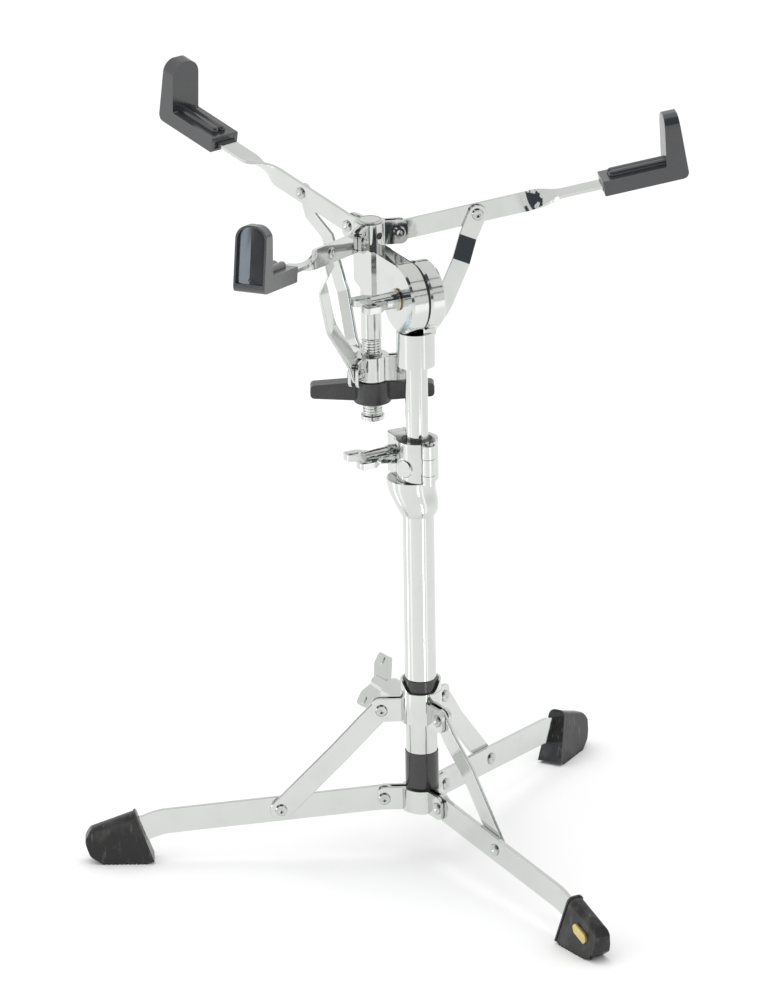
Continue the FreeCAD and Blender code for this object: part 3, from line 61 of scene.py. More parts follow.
# Limits and steps for meshes: lengths in metres unless a name says millimetres, the area in square metres
MM = 0.001
IN_METRES = Matrix.Scale(MM, 4)
WELD = 1e-6
WELD_MM = 0.001
LARGE_FACE = 5e-5
FLAT_ANGLE = math.radians(0.6)
RIDGE_ANGLE = math.radians(18)
SHARP_ANGLE = math.radians(36)
CORNER_STEPS = 7
CIRCLE_STEPS = 72

# Grip sizes in millimetres, in the arm's own frame: x outward along the strip, z up
GRIP_START = 145.0
GRIP_END = 205.5
GRIP_HALF = 5.5
GRIP_TOP = 41.1
GRIP_WIDTH = 23.0
GRIP_ROOT = 14.8
GRIP_TIP = 10.0
GRIP_CROWN = 9.5
GRIP_HEEL_ROUND = 4.5
GRIP_CORNER = 0.8
GRIP_CROOK = 1.0
GRIP_EDGE = 0.6
INTO_UPRIGHT = 1.0
ARM_SLOPE = math.radians(9.7)
RIB_RADIUS = 3.0
RIB_SPREAD = 2.9
RIB_RISE = 0.9
RIB_SETBACK = 5.5
PANEL_INSET = 1.5
PANEL_DEPTH = 2.6
PANEL_RIDGE = 0.4
PANEL_FOOT = 0.6
PANEL_CORNER = 1.0
KNOB_RADIUS = 1.5
KNOB_START = 2.2
KNOB_END = 1.6
KNOB_RISE = 3.0
STRIP_WIDTH = 14.3
STRIP_THICKNESS = 2.8
MOUTH_DEPTH = 1.7

# Shares of the strip's width and of the grip's half height that the mouth of the slot takes
MOUTH_ASIDE = 0.62
MOUTH_BELOW = 0.62
MOUTH_ABOVE = 0.3

# Shoe sizes in millimetres, in the leg's own frame: x outward from the tube, z up
SHOE_HEEL = 188.0
SHOE_TOE = 238.0
SHOE_HEIGHT = 37.5
SHOE_WIDTH = 18.0
SHOE_NOSE = 17.0
SHOE_SETBACK = 5.0
SHOE_UNDERCUT = 4.0
SHOE_BEVEL = 9.0
SHOE_LIFT = 6.0
SHOE_SLOPE = math.radians(20)
SHOE_RIDGE = 11.0
SHOE_ROUND = 4.6
SHOE_TOE_ROUND = 7.0
SHOE_HEEL_INSET = 0.6
SHOE_HEEL_ROUND = 1.4
SHOE_SOLE_ROUND = 5.0
SHOE_LIFT_ROUND = 6.0
SHOE_NOSE_ROUND = 7.0
SHOE_BACK_ROUND = 0.8
SHOE_EDGE = 0.45
SOLE_GROOVE_START = 4.0
SOLE_GROOVE_HEIGHTS = (-1.0, 1.4)
LIP_START = 0.2
LIP_THICKNESS = 1.7
LIP_PROUD = 0.5
LIP_RISE = 0.7
LIP_CLEARANCE = 1.5
LIP_GROOVE_WIDTH = 0.7
LIP_GROOVE_DEPTH = 0.8
NUB_RADIUS = 1.6
NUB_START = 3.0
NUB_END = 4.0
NUB_HEIGHT = 2.2
LEG_BEND = (183.475, 29.004)
LEG_SLOT_WIDTH = 3.3
LEG_SLOT_HEIGHT = 18.3
LEG_SLOT_DEPTH = 38.4

# Count of the sole grooves, share of their pitch that each takes, share of the half width where the nub sits
SOLE_GROOVES = 11
SOLE_GROOVE_SHARE = 0.45
NUB_SHARE = 0.55

# The blank plate, in millimetres, with its place in the front leg's own frame
PLATE_PLACE = (219.0, -7.6, 17.0)
PLATE_LEAN = math.radians(6)
PLATE_REACH = 9.0
PLATE_SHOULDER = 6.6
PLATE_HALF = 4.2
PLATE_CORNER = 1.0
PLATE_DEPTHS = (-0.6, 1.4)
PLATE_EDGE = 0.25


# Mesh helpers


def turned(angle, axis):
    return Matrix.Rotation(angle, 4, axis)


def rounded(corners, steps=CORNER_STEPS):
    """An outline of (a, b, radius) corners with each corner turned into an arc."""
    points = []
    for number, (a, b, radius) in enumerate(corners):
        here = Vector((a, b))
        if radius == 0:
            points.append((a, b))
            continue
        before = (Vector(corners[number - 1][:2]) - here).normalized()
        after = (Vector(corners[(number + 1) % len(corners)][:2]) - here).normalized()
        half = math.acos(max(-1.0, min(1.0, before.dot(after)))) / 2
        centre = here + (before + after).normalized() * (radius / math.sin(half))
        first = here + before * (radius / math.tan(half)) - centre
        last = here + after * (radius / math.tan(half)) - centre
        begin = math.atan2(first.y, first.x)
        turn = math.atan2(last.y, last.x) - begin
        turn = (turn + math.pi) % (2 * math.pi) - math.pi
        for step in range(steps + 1):
            angle = begin + turn * step / steps
            points.append((centre.x + radius * math.cos(angle), centre.y + radius * math.sin(angle)))
    return points


def swept(outline, along, start, end):
    """A prism: an outline in two axes, swept from start to end along the third."""
    place = {
        "x": lambda a, b, s: (s, a, b),
        "y": lambda a, b, s: (a, s, b),
        "z": lambda a, b, s: (a, b, s),
    }[along]
    form = bmesh.new()
    low = [form.verts.new(place(a, b, start)) for a, b in outline]
    high = [form.verts.new(place(a, b, end)) for a, b in outline]
    form.faces.new(low)
    form.faces.new(high)
    for number in range(len(outline)):
        after = (number + 1) % len(outline)
        form.faces.new((low[number], low[after], high[after], high[number]))
    bmesh.ops.recalc_face_normals(form, faces=form.faces)
    return as_mesh(form, "swept")


def as_mesh(form, name):
    mesh = bpy.data.meshes.new(name)
    form.to_mesh(mesh)
    form.free()
    return mesh


def block(low, high):
    outline = [(low[0], low[1]), (high[0], low[1]), (high[0], high[1]), (low[0], high[1])]
    return swept(outline, "z", low[2], high[2])


def capsule(radius, start, end, side, height):
    """A rounded bar along x with ball ends."""
    form = bmesh.new()
    turn = turned(math.pi / 2, "Y")
    bmesh.ops.create_uvsphere(form, u_segments=24, v_segments=16, radius=radius, matrix=turn)
    for vertex in form.verts:
        vertex.co.x += end if vertex.co.x > WELD else start
        vertex.co.y += side
        vertex.co.z += height
    return as_mesh(form, "capsule")


def circle(radius):
    turns = [2 * math.pi * step / CIRCLE_STEPS for step in range(CIRCLE_STEPS)]
    return [(radius * math.cos(turn), radius * math.sin(turn)) for turn in turns]


def ring(inner, outer, low, high):
    """A flat ring about z."""
    inside = swept(circle(inner), "z", low - outer, high + outer)
    return carved(swept(circle(outer), "z", low, high), ("DIFFERENCE", inside))


def evaluated(thing):
    """The mesh of a thing with its modifiers applied."""
    bpy.context.view_layer.update()
    graph = bpy.context.evaluated_depsgraph_get()
    return bpy.data.meshes.new_from_object(thing.evaluated_get(graph))


def carved(base, *steps):
    """The base mesh after boolean steps, each an operation and a second mesh."""
    things = [bpy.data.objects.new("carved", base)]
    link(things[0])
    for operation, mesh in steps:
        other = bpy.data.objects.new("tool", mesh)
        link(other)
        step = things[0].modifiers.new(operation, "BOOLEAN")
        step.operation = operation
        step.solver = "EXACT"
        step.object = other
        things.append(other)
    made = evaluated(things[0])
    for thing in things:
        bpy.data.objects.remove(thing)
    return made


def softened(mesh, width, weld, segments):
    """The mesh with flat faces joined, sharp edges rounded, and smooth shading."""
    form = bmesh.new()
    form.from_mesh(mesh)
    bmesh.ops.remove_doubles(form, verts=form.verts, dist=weld)
    bmesh.ops.dissolve_limit(form, angle_limit=FLAT_ANGLE, verts=form.verts, edges=form.edges)
    made = as_mesh(form, "soft")
    if "custom_normal" in made.attributes:
        made.attributes.remove(made.attributes["custom_normal"])
    for face in made.polygons:
        face.use_smooth = True
    made.set_sharp_from_angle(angle=SHARP_ANGLE)
    thing = bpy.data.objects.new("soft", made)
    link(thing)
    bevel = thing.modifiers.new("round", "BEVEL")
    bevel.width = width
    bevel.segments = segments
    bevel.limit_method = "ANGLE"
    bevel.angle_limit = SHARP_ANGLE
    bevel.harden_normals = True
    rounded_mesh = evaluated(thing)
    bpy.data.objects.remove(thing)
    return rounded_mesh


def smooth(mesh, angle=SHARP_ANGLE):
    """The mesh with smooth shading in which large faces stay flat."""
    for face in mesh.polygons:
        face.use_smooth = True
    mesh.set_sharp_from_angle(angle=angle)
    thing = bpy.data.objects.new("smooth", mesh)
    link(thing)
    weighted = thing.modifiers.new("weighted", "WEIGHTED_NORMAL")
    weighted.keep_sharp = True
    weighted.weight = 100
    made = evaluated(thing)
    bpy.data.objects.remove(thing)
    return made


def shade_flat(mesh):
    """Shades the large faces of a bent strip flat, so that its bends show."""
    mesh.attributes.remove(mesh.attributes["custom_normal"])
    for face in mesh.polygons:
        face.use_smooth = face.area < LARGE_FACE


def placed(name, mesh, look):
    """A new object with one look, linked to the scene."""
    thing = bpy.data.objects.new(name, mesh)
    link(thing)
    mesh.materials.clear()
    mesh.materials.append(look)
    return thing


def show(name, mesh, node, look):
    """Shows a mesh in place of a CAD node, moving with the node's body."""
    piece = placed(name, mesh, look)
    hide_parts(node)
    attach(piece, body_of[node])


def add(name, mesh, body, look):
    """Adds a small piece that no CAD node has, moving with a body."""
    piece = placed(name, mesh, look)
    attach(piece, body)


def outward_turn(body):
    """Angle of a limb's outward direction, from the axis of its hinge."""
    axis = Vector(joint_of[body]["axis"])
    outward = Vector((0, 0, 1)).cross(axis)
    return math.atan2(outward.y, outward.x)


# Noise patterns in materials: scale per metre and detail, then stretch along x, y and z
METAL_GRAIN = (900, 3)
METAL_CLOUDS = (60, 4)
RUBBER_GRAIN = (2400, 4)
RUBBER_PATCHES = (70, 5)
SCUFF_STREAKS = (420, 2)
FLOOR_CLOUDS = (3, 3)
EVEN = (1, 1, 1)
ALONG = (1, 1, 0.05)
SCUFF_STRETCH = (1, 1, 0.12)

# Spans of a pattern's values that are used, and the most that each may do
WHOLE = (0, 1)
GRAIN_SPAN = (0.3, 0.7)
SMUDGE_SPAN = (0.5, 0.8)
SMUDGE_MOST = 0.6
EDGE_SPAN = (0.98, 0.8)
EDGE_HIGHLIGHT_AND_WEAR_MOST = 0.6
DUST_SPAN = (0.52, 0.78)
DUST_ROUGHNESS = 0.35
SCUFF_SPAN = (0.63, 0.73)
SCUFF_MOST = 0.6
METAL_BUMP = 0.06
RUBBER_BUMP = 0.15
METAL_EDGE_DULLING = 0.5

# Lengths in materials, in metres, and the samples that find an edge
GRAIN_DEPTH = 0.0002
METAL_EDGE = 0.0009
RUBBER_EDGE = 0.0012
EDGE_SAMPLES = 4

# Sockets of the mix node that carry colours
MIX_FIRST = 6
MIX_SECOND = 7
MIX_RESULT = 2


# Material helpers


def nodes_of(name):
    material = bpy.data.materials.new(name)
    material.use_nodes = True
    tree = material.node_tree
    return material, tree, tree.nodes["Principled BSDF"]


def noise(tree, pattern, stretch=EVEN):
    scale, detail = pattern
    spot = tree.nodes.new("ShaderNodeTexCoord")
    stretched = tree.nodes.new("ShaderNodeMapping")
    stretched.inputs["Scale"].default_value = stretch
    tree.links.new(spot.outputs["Object"], stretched.inputs["Vector"])
    made = tree.nodes.new("ShaderNodeTexNoise")
    made.inputs["Scale"].default_value = scale
    made.inputs["Detail"].default_value = detail
    tree.links.new(stretched.outputs["Vector"], made.inputs["Vector"])
    return made.outputs["Fac"]


def ranged(tree, value, old, new):
    """A value carried over from its old span to a new one."""
    made = tree.nodes.new("ShaderNodeMapRange")
    made.inputs["From Min"].default_value = old[0]
    made.inputs["From Max"].default_value = old[1]
    made.inputs["To Min"].default_value = new[0]
    made.inputs["To Max"].default_value = new[1]
    tree.links.new(value, made.inputs["Value"])
    return made.outputs["Result"]


def added(tree, first, second):
    made = tree.nodes.new("ShaderNodeMath")
    made.operation = "ADD"
    tree.links.new(first, made.inputs[0])
    tree.links.new(second, made.inputs[1])
    return made.outputs["Value"]


def mixed(tree, share, first, second):
    """Two colours mixed by a share. Each is a tuple or another node's output."""
    made = tree.nodes.new("ShaderNodeMix")
    made.data_type = "RGBA"
    tree.links.new(share, made.inputs["Factor"])
    for colour, socket in ((first, made.inputs[MIX_FIRST]), (second, made.inputs[MIX_SECOND])):
        if isinstance(colour, tuple):
            socket.default_value = (*colour, 1)
        else:
            tree.links.new(colour, socket)
    return made.outputs[MIX_RESULT]


def edge_mask(tree, radius):
    """About 0 on flat faces and higher at edges, from a rounded normal against the true one."""
    soft = tree.nodes.new("ShaderNodeBevel")
    soft.samples = EDGE_SAMPLES
    soft.inputs["Radius"].default_value = radius
    true = tree.nodes.new("ShaderNodeNewGeometry")
    dot = tree.nodes.new("ShaderNodeVectorMath")
    dot.operation = "DOT_PRODUCT"
    tree.links.new(soft.outputs["Normal"], dot.inputs[0])
    tree.links.new(true.outputs["Normal"], dot.inputs[1])
    return ranged(tree, dot.outputs["Value"], EDGE_SPAN, WHOLE)


def bumped(tree, shader, height, strength):
    bump = tree.nodes.new("ShaderNodeBump")
    bump.inputs["Strength"].default_value = strength
    bump.inputs["Distance"].default_value = GRAIN_DEPTH
    tree.links.new(height, bump.inputs["Height"])
    tree.links.new(bump.outputs["Normal"], shader.inputs["Normal"])


def metal(name, colour, dull, rough, brush=EVEN, edge_dulling=METAL_EDGE_DULLING):
    """Plated metal: brushed roughness, cloudy smudges, a little dulling at the edges."""
    material, tree, shader = nodes_of(name)
    shader.inputs["Metallic"].default_value = 1.0
    grain = noise(tree, METAL_GRAIN, brush)
    clouds = noise(tree, METAL_CLOUDS)
    edges = edge_mask(tree, METAL_EDGE)
    smudge = ranged(tree, clouds, SMUDGE_SPAN, (0, SMUDGE_MOST))
    tone = mixed(tree, smudge, colour, dull)
    tone = mixed(tree, ranged(tree, edges, WHOLE, (0, edge_dulling)), tone, dull)
    tree.links.new(tone, shader.inputs["Base Color"])
    base = ranged(tree, grain, GRAIN_SPAN, rough)
    extra = ranged(tree, smudge, WHOLE, (0, rough[0]))
    tree.links.new(added(tree, base, extra), shader.inputs["Roughness"])
    bumped(tree, shader, grain, METAL_BUMP)
    return material


def rubber(name, colour, edge_highlight_and_wear, dust, rough, dusty, sheen, scuffed=False):
    """Moulded rubber or plastic: fine grain, lighter edges that are partly wear and partly painted highlight,
    dusty patches, pale scuff marks.
    """
    material, tree, shader = nodes_of(name)
    shader.inputs["Specular IOR Level"].default_value = sheen
    grain = noise(tree, RUBBER_GRAIN)
    patches = noise(tree, RUBBER_PATCHES)
    edges = edge_mask(tree, RUBBER_EDGE)
    # Edges mixed toward a lighter tone: partly wear, partly a painted highlight where the edges catch the light.
    tone = mixed(tree, ranged(tree, edges, WHOLE, (0, EDGE_HIGHLIGHT_AND_WEAR_MOST)), colour, edge_highlight_and_wear)
    spots = ranged(tree, patches, DUST_SPAN, (0, dusty))
    tone = mixed(tree, spots, tone, dust)
    if scuffed:
        streaks = noise(tree, SCUFF_STREAKS, SCUFF_STRETCH)
        tone = mixed(tree, ranged(tree, streaks, SCUFF_SPAN, (0, SCUFF_MOST)), tone, dust)
    tree.links.new(tone, shader.inputs["Base Color"])
    base = ranged(tree, grain, GRAIN_SPAN, rough)
    extra = ranged(tree, spots, WHOLE, (0, DUST_ROUGHNESS))
    tree.links.new(added(tree, base, extra), shader.inputs["Roughness"])
    bumped(tree, shader, grain, RUBBER_BUMP)
    return material


# Looks, named after the record's material slots, with two more for the plate and the washer
CHROME = (0.66, 0.675, 0.657)
CHROME_DULL = (0.59, 0.605, 0.59)
METALS = {
    "chrome_steel": dict(colour=CHROME, dull=CHROME_DULL, rough=(0.05, 0.10), brush=ALONG),
    "chrome_casting": dict(colour=CHROME, dull=CHROME_DULL, rough=(0.07, 0.14)),
    # Rivets: stronger, darker edge dulling, partly wear and partly painted shade of the gap round each rivet head.
    "chrome_rivet": dict(colour=(0.58, 0.59, 0.58), dull=(0.42, 0.42, 0.41), rough=(0.07, 0.14), edge_dulling=0.7),
    "chrome_bolt": dict(colour=CHROME, dull=CHROME_DULL, rough=(0.05, 0.11)),
    "screw_steel": dict(colour=(0.07, 0.07, 0.075), dull=(0.12, 0.12, 0.12), rough=(0.3, 0.45)),
    "insert_brass": dict(colour=(0.72, 0.55, 0.26), dull=(0.5, 0.36, 0.16), rough=(0.2, 0.3)),
    "plate": dict(colour=(0.74, 0.62, 0.24), dull=(0.55, 0.45, 0.17), rough=(0.3, 0.4)),
    "washer": dict(colour=(0.62, 0.55, 0.45), dull=(0.48, 0.41, 0.32), rough=(0.10, 0.18)),
}
# The lighter edge tones of the rubbers are partly wear and partly painted highlight.
RUBBERS = {
    "foot_rubber": dict(
        colour=(0.014, 0.0137, 0.0137), edge_highlight_and_wear=(0.085, 0.083, 0.08), dust=(0.13, 0.125, 0.12),
        rough=(0.24, 0.34), dusty=0.45, sheen=0.38, scuffed=True,
    ),
    "grip_rubber": dict(
        colour=(0.03, 0.031, 0.034), edge_highlight_and_wear=(0.07, 0.07, 0.075), dust=(0.06, 0.06, 0.06),
        rough=(0.13, 0.22), dusty=0.25, sheen=1.0,
    ),
    "black_nylon": dict(
        colour=(0.02, 0.02, 0.021), edge_highlight_and_wear=(0.06, 0.06, 0.06), dust=(0.08, 0.08, 0.08),
        rough=(0.08, 0.16), dusty=0.2, sheen=0.7,
    ),
    "black_sleeve": dict(
        colour=(0.02, 0.02, 0.02), edge_highlight_and_wear=(0.05, 0.05, 0.05), dust=(0.06, 0.06, 0.06),
        rough=(0.04, 0.07), dusty=0.15, sheen=0.75,
    ),
    "nut_plastic": dict(
        colour=(0.03, 0.03, 0.031), edge_highlight_and_wear=(0.08, 0.08, 0.08), dust=(0.09, 0.09, 0.09),
        rough=(0.2, 0.3), dusty=0.25, sheen=0.6,
    ),
}
looks = {name: metal(f"{name}_look", **row) for name, row in METALS.items()}
looks.update({name: rubber(f"{name}_look", **row) for name, row in RUBBERS.items()})


# Grips


def grip_form():
    """One moulded grip: an L with a ridged panel, a slot for its strip, two ribs and a knob."""
    half_width = GRIP_WIDTH / 2
    upright = GRIP_END - GRIP_ROOT
    side = swept(rounded([
        (GRIP_START, -GRIP_HALF, GRIP_CORNER),
        (GRIP_END, -GRIP_HALF, GRIP_HEEL_ROUND),
        (GRIP_END, GRIP_TOP, GRIP_CORNER),
        (GRIP_END - GRIP_TIP, GRIP_TOP, GRIP_CORNER),
        (upright, GRIP_HALF, GRIP_CROOK),
        (GRIP_START, GRIP_HALF, GRIP_CORNER),
    ]), "y", -half_width, half_width)
    crown = swept(rounded([
        (-half_width, -GRIP_HALF * 2, 0),
        (half_width, -GRIP_HALF * 2, 0),
        (half_width, GRIP_TOP, GRIP_CROWN),
        (-half_width, GRIP_TOP, GRIP_CROWN),
    ], steps=12), "x", 0, GRIP_END * 2)
    inset = half_width - PANEL_INSET
    arch_top = GRIP_TOP - PANEL_INSET
    arch_round = GRIP_CROWN - PANEL_INSET
    arch = swept(rounded([
        (-inset, PANEL_FOOT, PANEL_CORNER),
        (inset, PANEL_FOOT, PANEL_CORNER),
        (inset, arch_top, arch_round),
        (-inset, arch_top, arch_round),
    ], steps=12), "x", GRIP_START, GRIP_END * 2)
    valley = swept([
        (GRIP_END - PANEL_DEPTH, -half_width),
        (GRIP_END - PANEL_RIDGE, 0),
        (GRIP_END - PANEL_DEPTH, half_width),
        (GRIP_END + PANEL_DEPTH, half_width),
        (GRIP_END + PANEL_DEPTH, -half_width),
    ], "z", -GRIP_TOP, GRIP_TOP * 2)
    panel = carved(arch, ("INTERSECT", valley))
    slot = block(
        (0, -STRIP_WIDTH / 2, -STRIP_THICKNESS / 2),
        (upright + INTO_UPRIGHT, STRIP_WIDTH / 2, STRIP_THICKNESS / 2),
    )
    mouth = block(
        (0, -STRIP_WIDTH * MOUTH_ASIDE, -GRIP_HALF * MOUTH_BELOW),
        (GRIP_START + MOUTH_DEPTH, STRIP_WIDTH * MOUTH_ASIDE, GRIP_HALF * MOUTH_ABOVE),
    )
    rib_start = GRIP_START + RIB_SETBACK + RIB_RADIUS
    rib_height = GRIP_HALF + RIB_RISE
    ribs = [
        capsule(RIB_RADIUS, rib_start, upright + INTO_UPRIGHT, way * RIB_SPREAD, rib_height)
        for way in (-1, 1)
    ]
    knob = capsule(KNOB_RADIUS, GRIP_END - KNOB_START, GRIP_END - KNOB_END, 0, PANEL_FOOT + KNOB_RISE)
    cuts = [("DIFFERENCE", cut) for cut in (panel, slot, mouth)]
    form = softened(carved(side, ("INTERSECT", crown), *cuts), GRIP_EDGE, WELD_MM, segments=6)
    return carved(form, *[("UNION", extra) for extra in (*ribs, knob)])


grip_mesh = smooth(grip_form(), RIDGE_ANGLE)
for side in ARM_SIDES:
    body = f"{side}_arm"
    turn = turned(outward_turn(body), "Z") @ turned(-ARM_SLOPE, "Y")
    mesh = grip_mesh.copy()
    mesh.transform(Matrix.Translation(Vector(joint_of[body]["pos_m"])) @ turn @ IN_METRES)
    show(f"{side}_grip_moulding", mesh, f"{side}_grip", looks["grip_rubber"])


# Shoes


def shoe_section(grow, top):
    """The shoe across its length: wide at the sole, narrower and round at the top."""
    half = SHOE_WIDTH / 2 + grow
    ridge = SHOE_RIDGE / 2 + grow
    return rounded([
        (-half, -SHOE_HEIGHT, 0),
        (half, -SHOE_HEIGHT, 0),
        (ridge, top, SHOE_ROUND),
        (-ridge, top, SHOE_ROUND),
    ], steps=10)


def shoe_form():
    """One moulded shoe: sloping top, round toe, sole grooves, rear lip, nub, and a slot for its leg."""
    half = SHOE_WIDTH / 2
    tall = SHOE_HEIGHT / math.cos(SHOE_SLOPE)
    rear = SHOE_HEEL + SHOE_HEIGHT * math.tan(SHOE_SLOPE)
    nose_x = SHOE_TOE - SHOE_SETBACK
    nose_z = SHOE_HEIGHT - (nose_x - rear) * math.tan(SHOE_SLOPE)
    lift_x = SHOE_TOE - SHOE_UNDERCUT
    sole_end = lift_x - SHOE_BEVEL
    slope = turned(SHOE_SLOPE, "Y")
    on_top = Matrix.Translation((rear, 0, SHOE_HEIGHT)) @ slope
    on_rear = Matrix.Translation((SHOE_HEEL, 0, 0)) @ slope
    on_leg = Matrix.Translation((LEG_BEND[0], 0, LEG_BEND[1])) @ slope

    side = swept(rounded([
        (SHOE_HEEL + SHOE_HEEL_INSET, 0, SHOE_HEEL_ROUND),
        (sole_end, 0, SHOE_SOLE_ROUND),
        (lift_x, SHOE_LIFT, SHOE_LIFT_ROUND),
        (SHOE_TOE, SHOE_NOSE, SHOE_NOSE_ROUND),
        (nose_x, nose_z, SHOE_NOSE_ROUND),
        (rear, SHOE_HEIGHT, SHOE_BACK_ROUND),
    ]), "y", -half * 2, half * 2)
    bar = swept(shoe_section(0, 0), "x", -SHOE_HEEL, SHOE_HEEL)
    bar.transform(on_top)
    plan = swept(rounded([
        (0, -half, 0),
        (SHOE_TOE, -half, SHOE_TOE_ROUND),
        (SHOE_TOE, half, SHOE_TOE_ROUND),
        (0, half, 0),
    ], steps=8), "z", -SHOE_HEIGHT, SHOE_HEIGHT * 2)
    steps = [("INTERSECT", bar), ("INTERSECT", plan)]

    start = SHOE_HEEL + SOLE_GROOVE_START
    pitch = (sole_end - start) / SOLE_GROOVES
    low, high = SOLE_GROOVE_HEIGHTS
    for number in range(SOLE_GROOVES):
        x = start + pitch * number
        cut = block((x, -half * 2, low), (x + pitch * SOLE_GROOVE_SHARE, half * 2, high))
        steps.append(("DIFFERENCE", cut))

    groove_end = LIP_THICKNESS + LIP_GROOVE_WIDTH
    groove = block((LIP_THICKNESS, -half * 2, -SHOE_HEIGHT), (groove_end, half * 2, tall * 2))
    groove.transform(on_rear)
    core = swept(shoe_section(-LIP_GROOVE_DEPTH, -LIP_GROOVE_DEPTH), "x", -SHOE_HEEL, SHOE_HEEL)
    core.transform(on_top)
    steps.append(("DIFFERENCE", carved(groove, ("DIFFERENCE", core))))

    lip = swept(shoe_section(LIP_PROUD, LIP_RISE), "x", LIP_START, LIP_THICKNESS)
    floor_cut = block(
        (-SHOE_HEIGHT, -half * 3, -SHOE_HEIGHT * 2),
        (SHOE_HEIGHT, half * 3, LIP_CLEARANCE - tall),
    )
    lip = carved(lip, ("DIFFERENCE", floor_cut))
    lip.transform(on_rear @ Matrix.Translation((0, 0, tall)))
    nub = capsule(NUB_RADIUS, sole_end + NUB_START, sole_end + NUB_END, -half * NUB_SHARE, NUB_HEIGHT)
    slot = block(
        (0, -LEG_SLOT_WIDTH / 2, -LEG_SLOT_HEIGHT / 2),
        (LEG_SLOT_DEPTH, LEG_SLOT_WIDTH / 2, LEG_SLOT_HEIGHT / 2),
    )
    slot.transform(on_leg)
    form = carved(carved(side, *steps), ("UNION", lip), ("UNION", nub), ("DIFFERENCE", slot))
    return softened(form, SHOE_EDGE, WELD_MM, segments=2)


def blank_plate():
    """A plain small plate, with nothing on it, for the front shoe's left face."""
    spots = [
        (-PLATE_REACH, 0),
        (-PLATE_SHOULDER, -PLATE_HALF),
        (PLATE_SHOULDER, -PLATE_HALF),
        (PLATE_REACH, 0),
        (PLATE_SHOULDER, PLATE_HALF),
        (-PLATE_SHOULDER, PLATE_HALF),
    ]
    outline = rounded([(a, b, PLATE_CORNER) for a, b in spots], steps=4)
    return softened(swept(outline, "y", *PLATE_DEPTHS), PLATE_EDGE, WELD_MM, segments=2)


shoe_mesh = shoe_form()
for side in LEG_SIDES:
    mesh = shoe_mesh.copy()
    mesh.transform(turned(outward_turn(f"{side}_leg"), "Z") @ IN_METRES)
    show(f"{side}_shoe_moulding", mesh, f"{side}_foot", looks["foot_rubber"])
plate_mesh = blank_plate()
place = turned(outward_turn("front_leg"), "Z") @ IN_METRES @ Matrix.Translation(PLATE_PLACE)
plate_mesh.transform(place @ turned(SHOE_SLOPE, "Y") @ turned(PLATE_LEAN, "X"))
add("front_shoe_plate", plate_mesh, "front_leg", looks["plate"])


# Pieces with rounded edges: width of the rounding in metres, steps in it, nodes
ROUNDED_EDGES = [
    (0.0008, 3, [f"{side}_{kind}" for side in LEG_SIDES for kind in ("leg", "brace")]),
    (0.0007, 3, [f"{side}_{kind}" for side in ARM_SIDES for kind in ("arm", "strut")]),
    (0.0005, 2, ["leg_collar_segments", "brace_collar", "base_tube", "upper_tube", "carriage"]),
    (0.0007, 3, ["clamp_jaw", "tilter_base", "tilter_arm", "friction_disc", "basket_hub"]),
    (0.0012, 4, ["height_wing_bolt", "tilt_wing_bolt", "leg_lock_wing_bolt", "basket_nut"]),
    (0.0003, 2, ["stop_sleeve", "brace_collar_bushing", "post_retainer"]),
]
for width, steps, names in ROUNDED_EDGES:
    for node in names:
        mesh = softened(nodes[node].data, width, WELD, steps)
        if node.endswith("_strut"):
            shade_flat(mesh)
        show(f"{node}_finished", mesh, node, looks[slot_of[node]])
for node, thing in nodes.items():
    for slot in thing.material_slots:
        slot.link = "OBJECT"
        slot.material = looks[slot_of[node]]


# Small chrome forms in millimetres: the sliding collar's rim, the clamp jaw's boss, the hub cap's groove
RIM_RADII = (12.5, 14.3)
RIM_HEIGHTS = (124.4, 133.2)
RIM_LIP = 0.8
RIM_OPENING = (math.radians(32), math.radians(78))
RIM_STEPS = 96
RIM_EDGE = 0.45
BOSS_RADIUS = 6.4
BOSS_SPOT = 14.2
BOSS_BEARING = math.radians(230)
BOSS_HEIGHT = 293.0
BOSS_PROUD = 1.6
BOSS_ROUND = 0.8
BOSS_ROUND_STEPS = 5
BOSS_STEPS = 40
CAP_GROOVE = (7.3, 8.0)
CAP_GROOVE_DEPTH = 0.7
CAP_EDGE_METRES = 0.0005


def eased(share):
    """A share held between 0 and 1, with a soft start and end."""
    share = max(0.0, min(1.0, share))
    return share * share * (3 - 2 * share)


def collar_rim():
    """The collar's cup round its black bushing, scooped out at the front."""
    inner, outer = RIM_RADII
    low, high = RIM_HEIGHTS
    narrow, wide = RIM_OPENING
    form = bmesh.new()
    rings = []
    for step in range(RIM_STEPS + 1):
        aside = -math.pi + 2 * math.pi * step / RIM_STEPS
        share = eased((abs(aside) - narrow) / (wide - narrow))
        top = low + RIM_LIP + (high - low - RIM_LIP) * share
        angle = -math.pi / 2 + aside
        spots = [(inner, low), (outer, low), (outer, top), (inner, top)]
        rings.append([form.verts.new((r * math.cos(angle), r * math.sin(angle), z)) for r, z in spots])
    for first, second in zip(rings, rings[1:]):
        for corner in range(len(first)):
            after = (corner + 1) % len(first)
            form.faces.new((first[corner], first[after], second[after], second[corner]))
    bmesh.ops.remove_doubles(form, verts=form.verts, dist=WELD)
    bmesh.ops.recalc_face_normals(form, faces=form.faces)
    return softened(as_mesh(form, "rim"), RIM_EDGE, WELD_MM, segments=3)


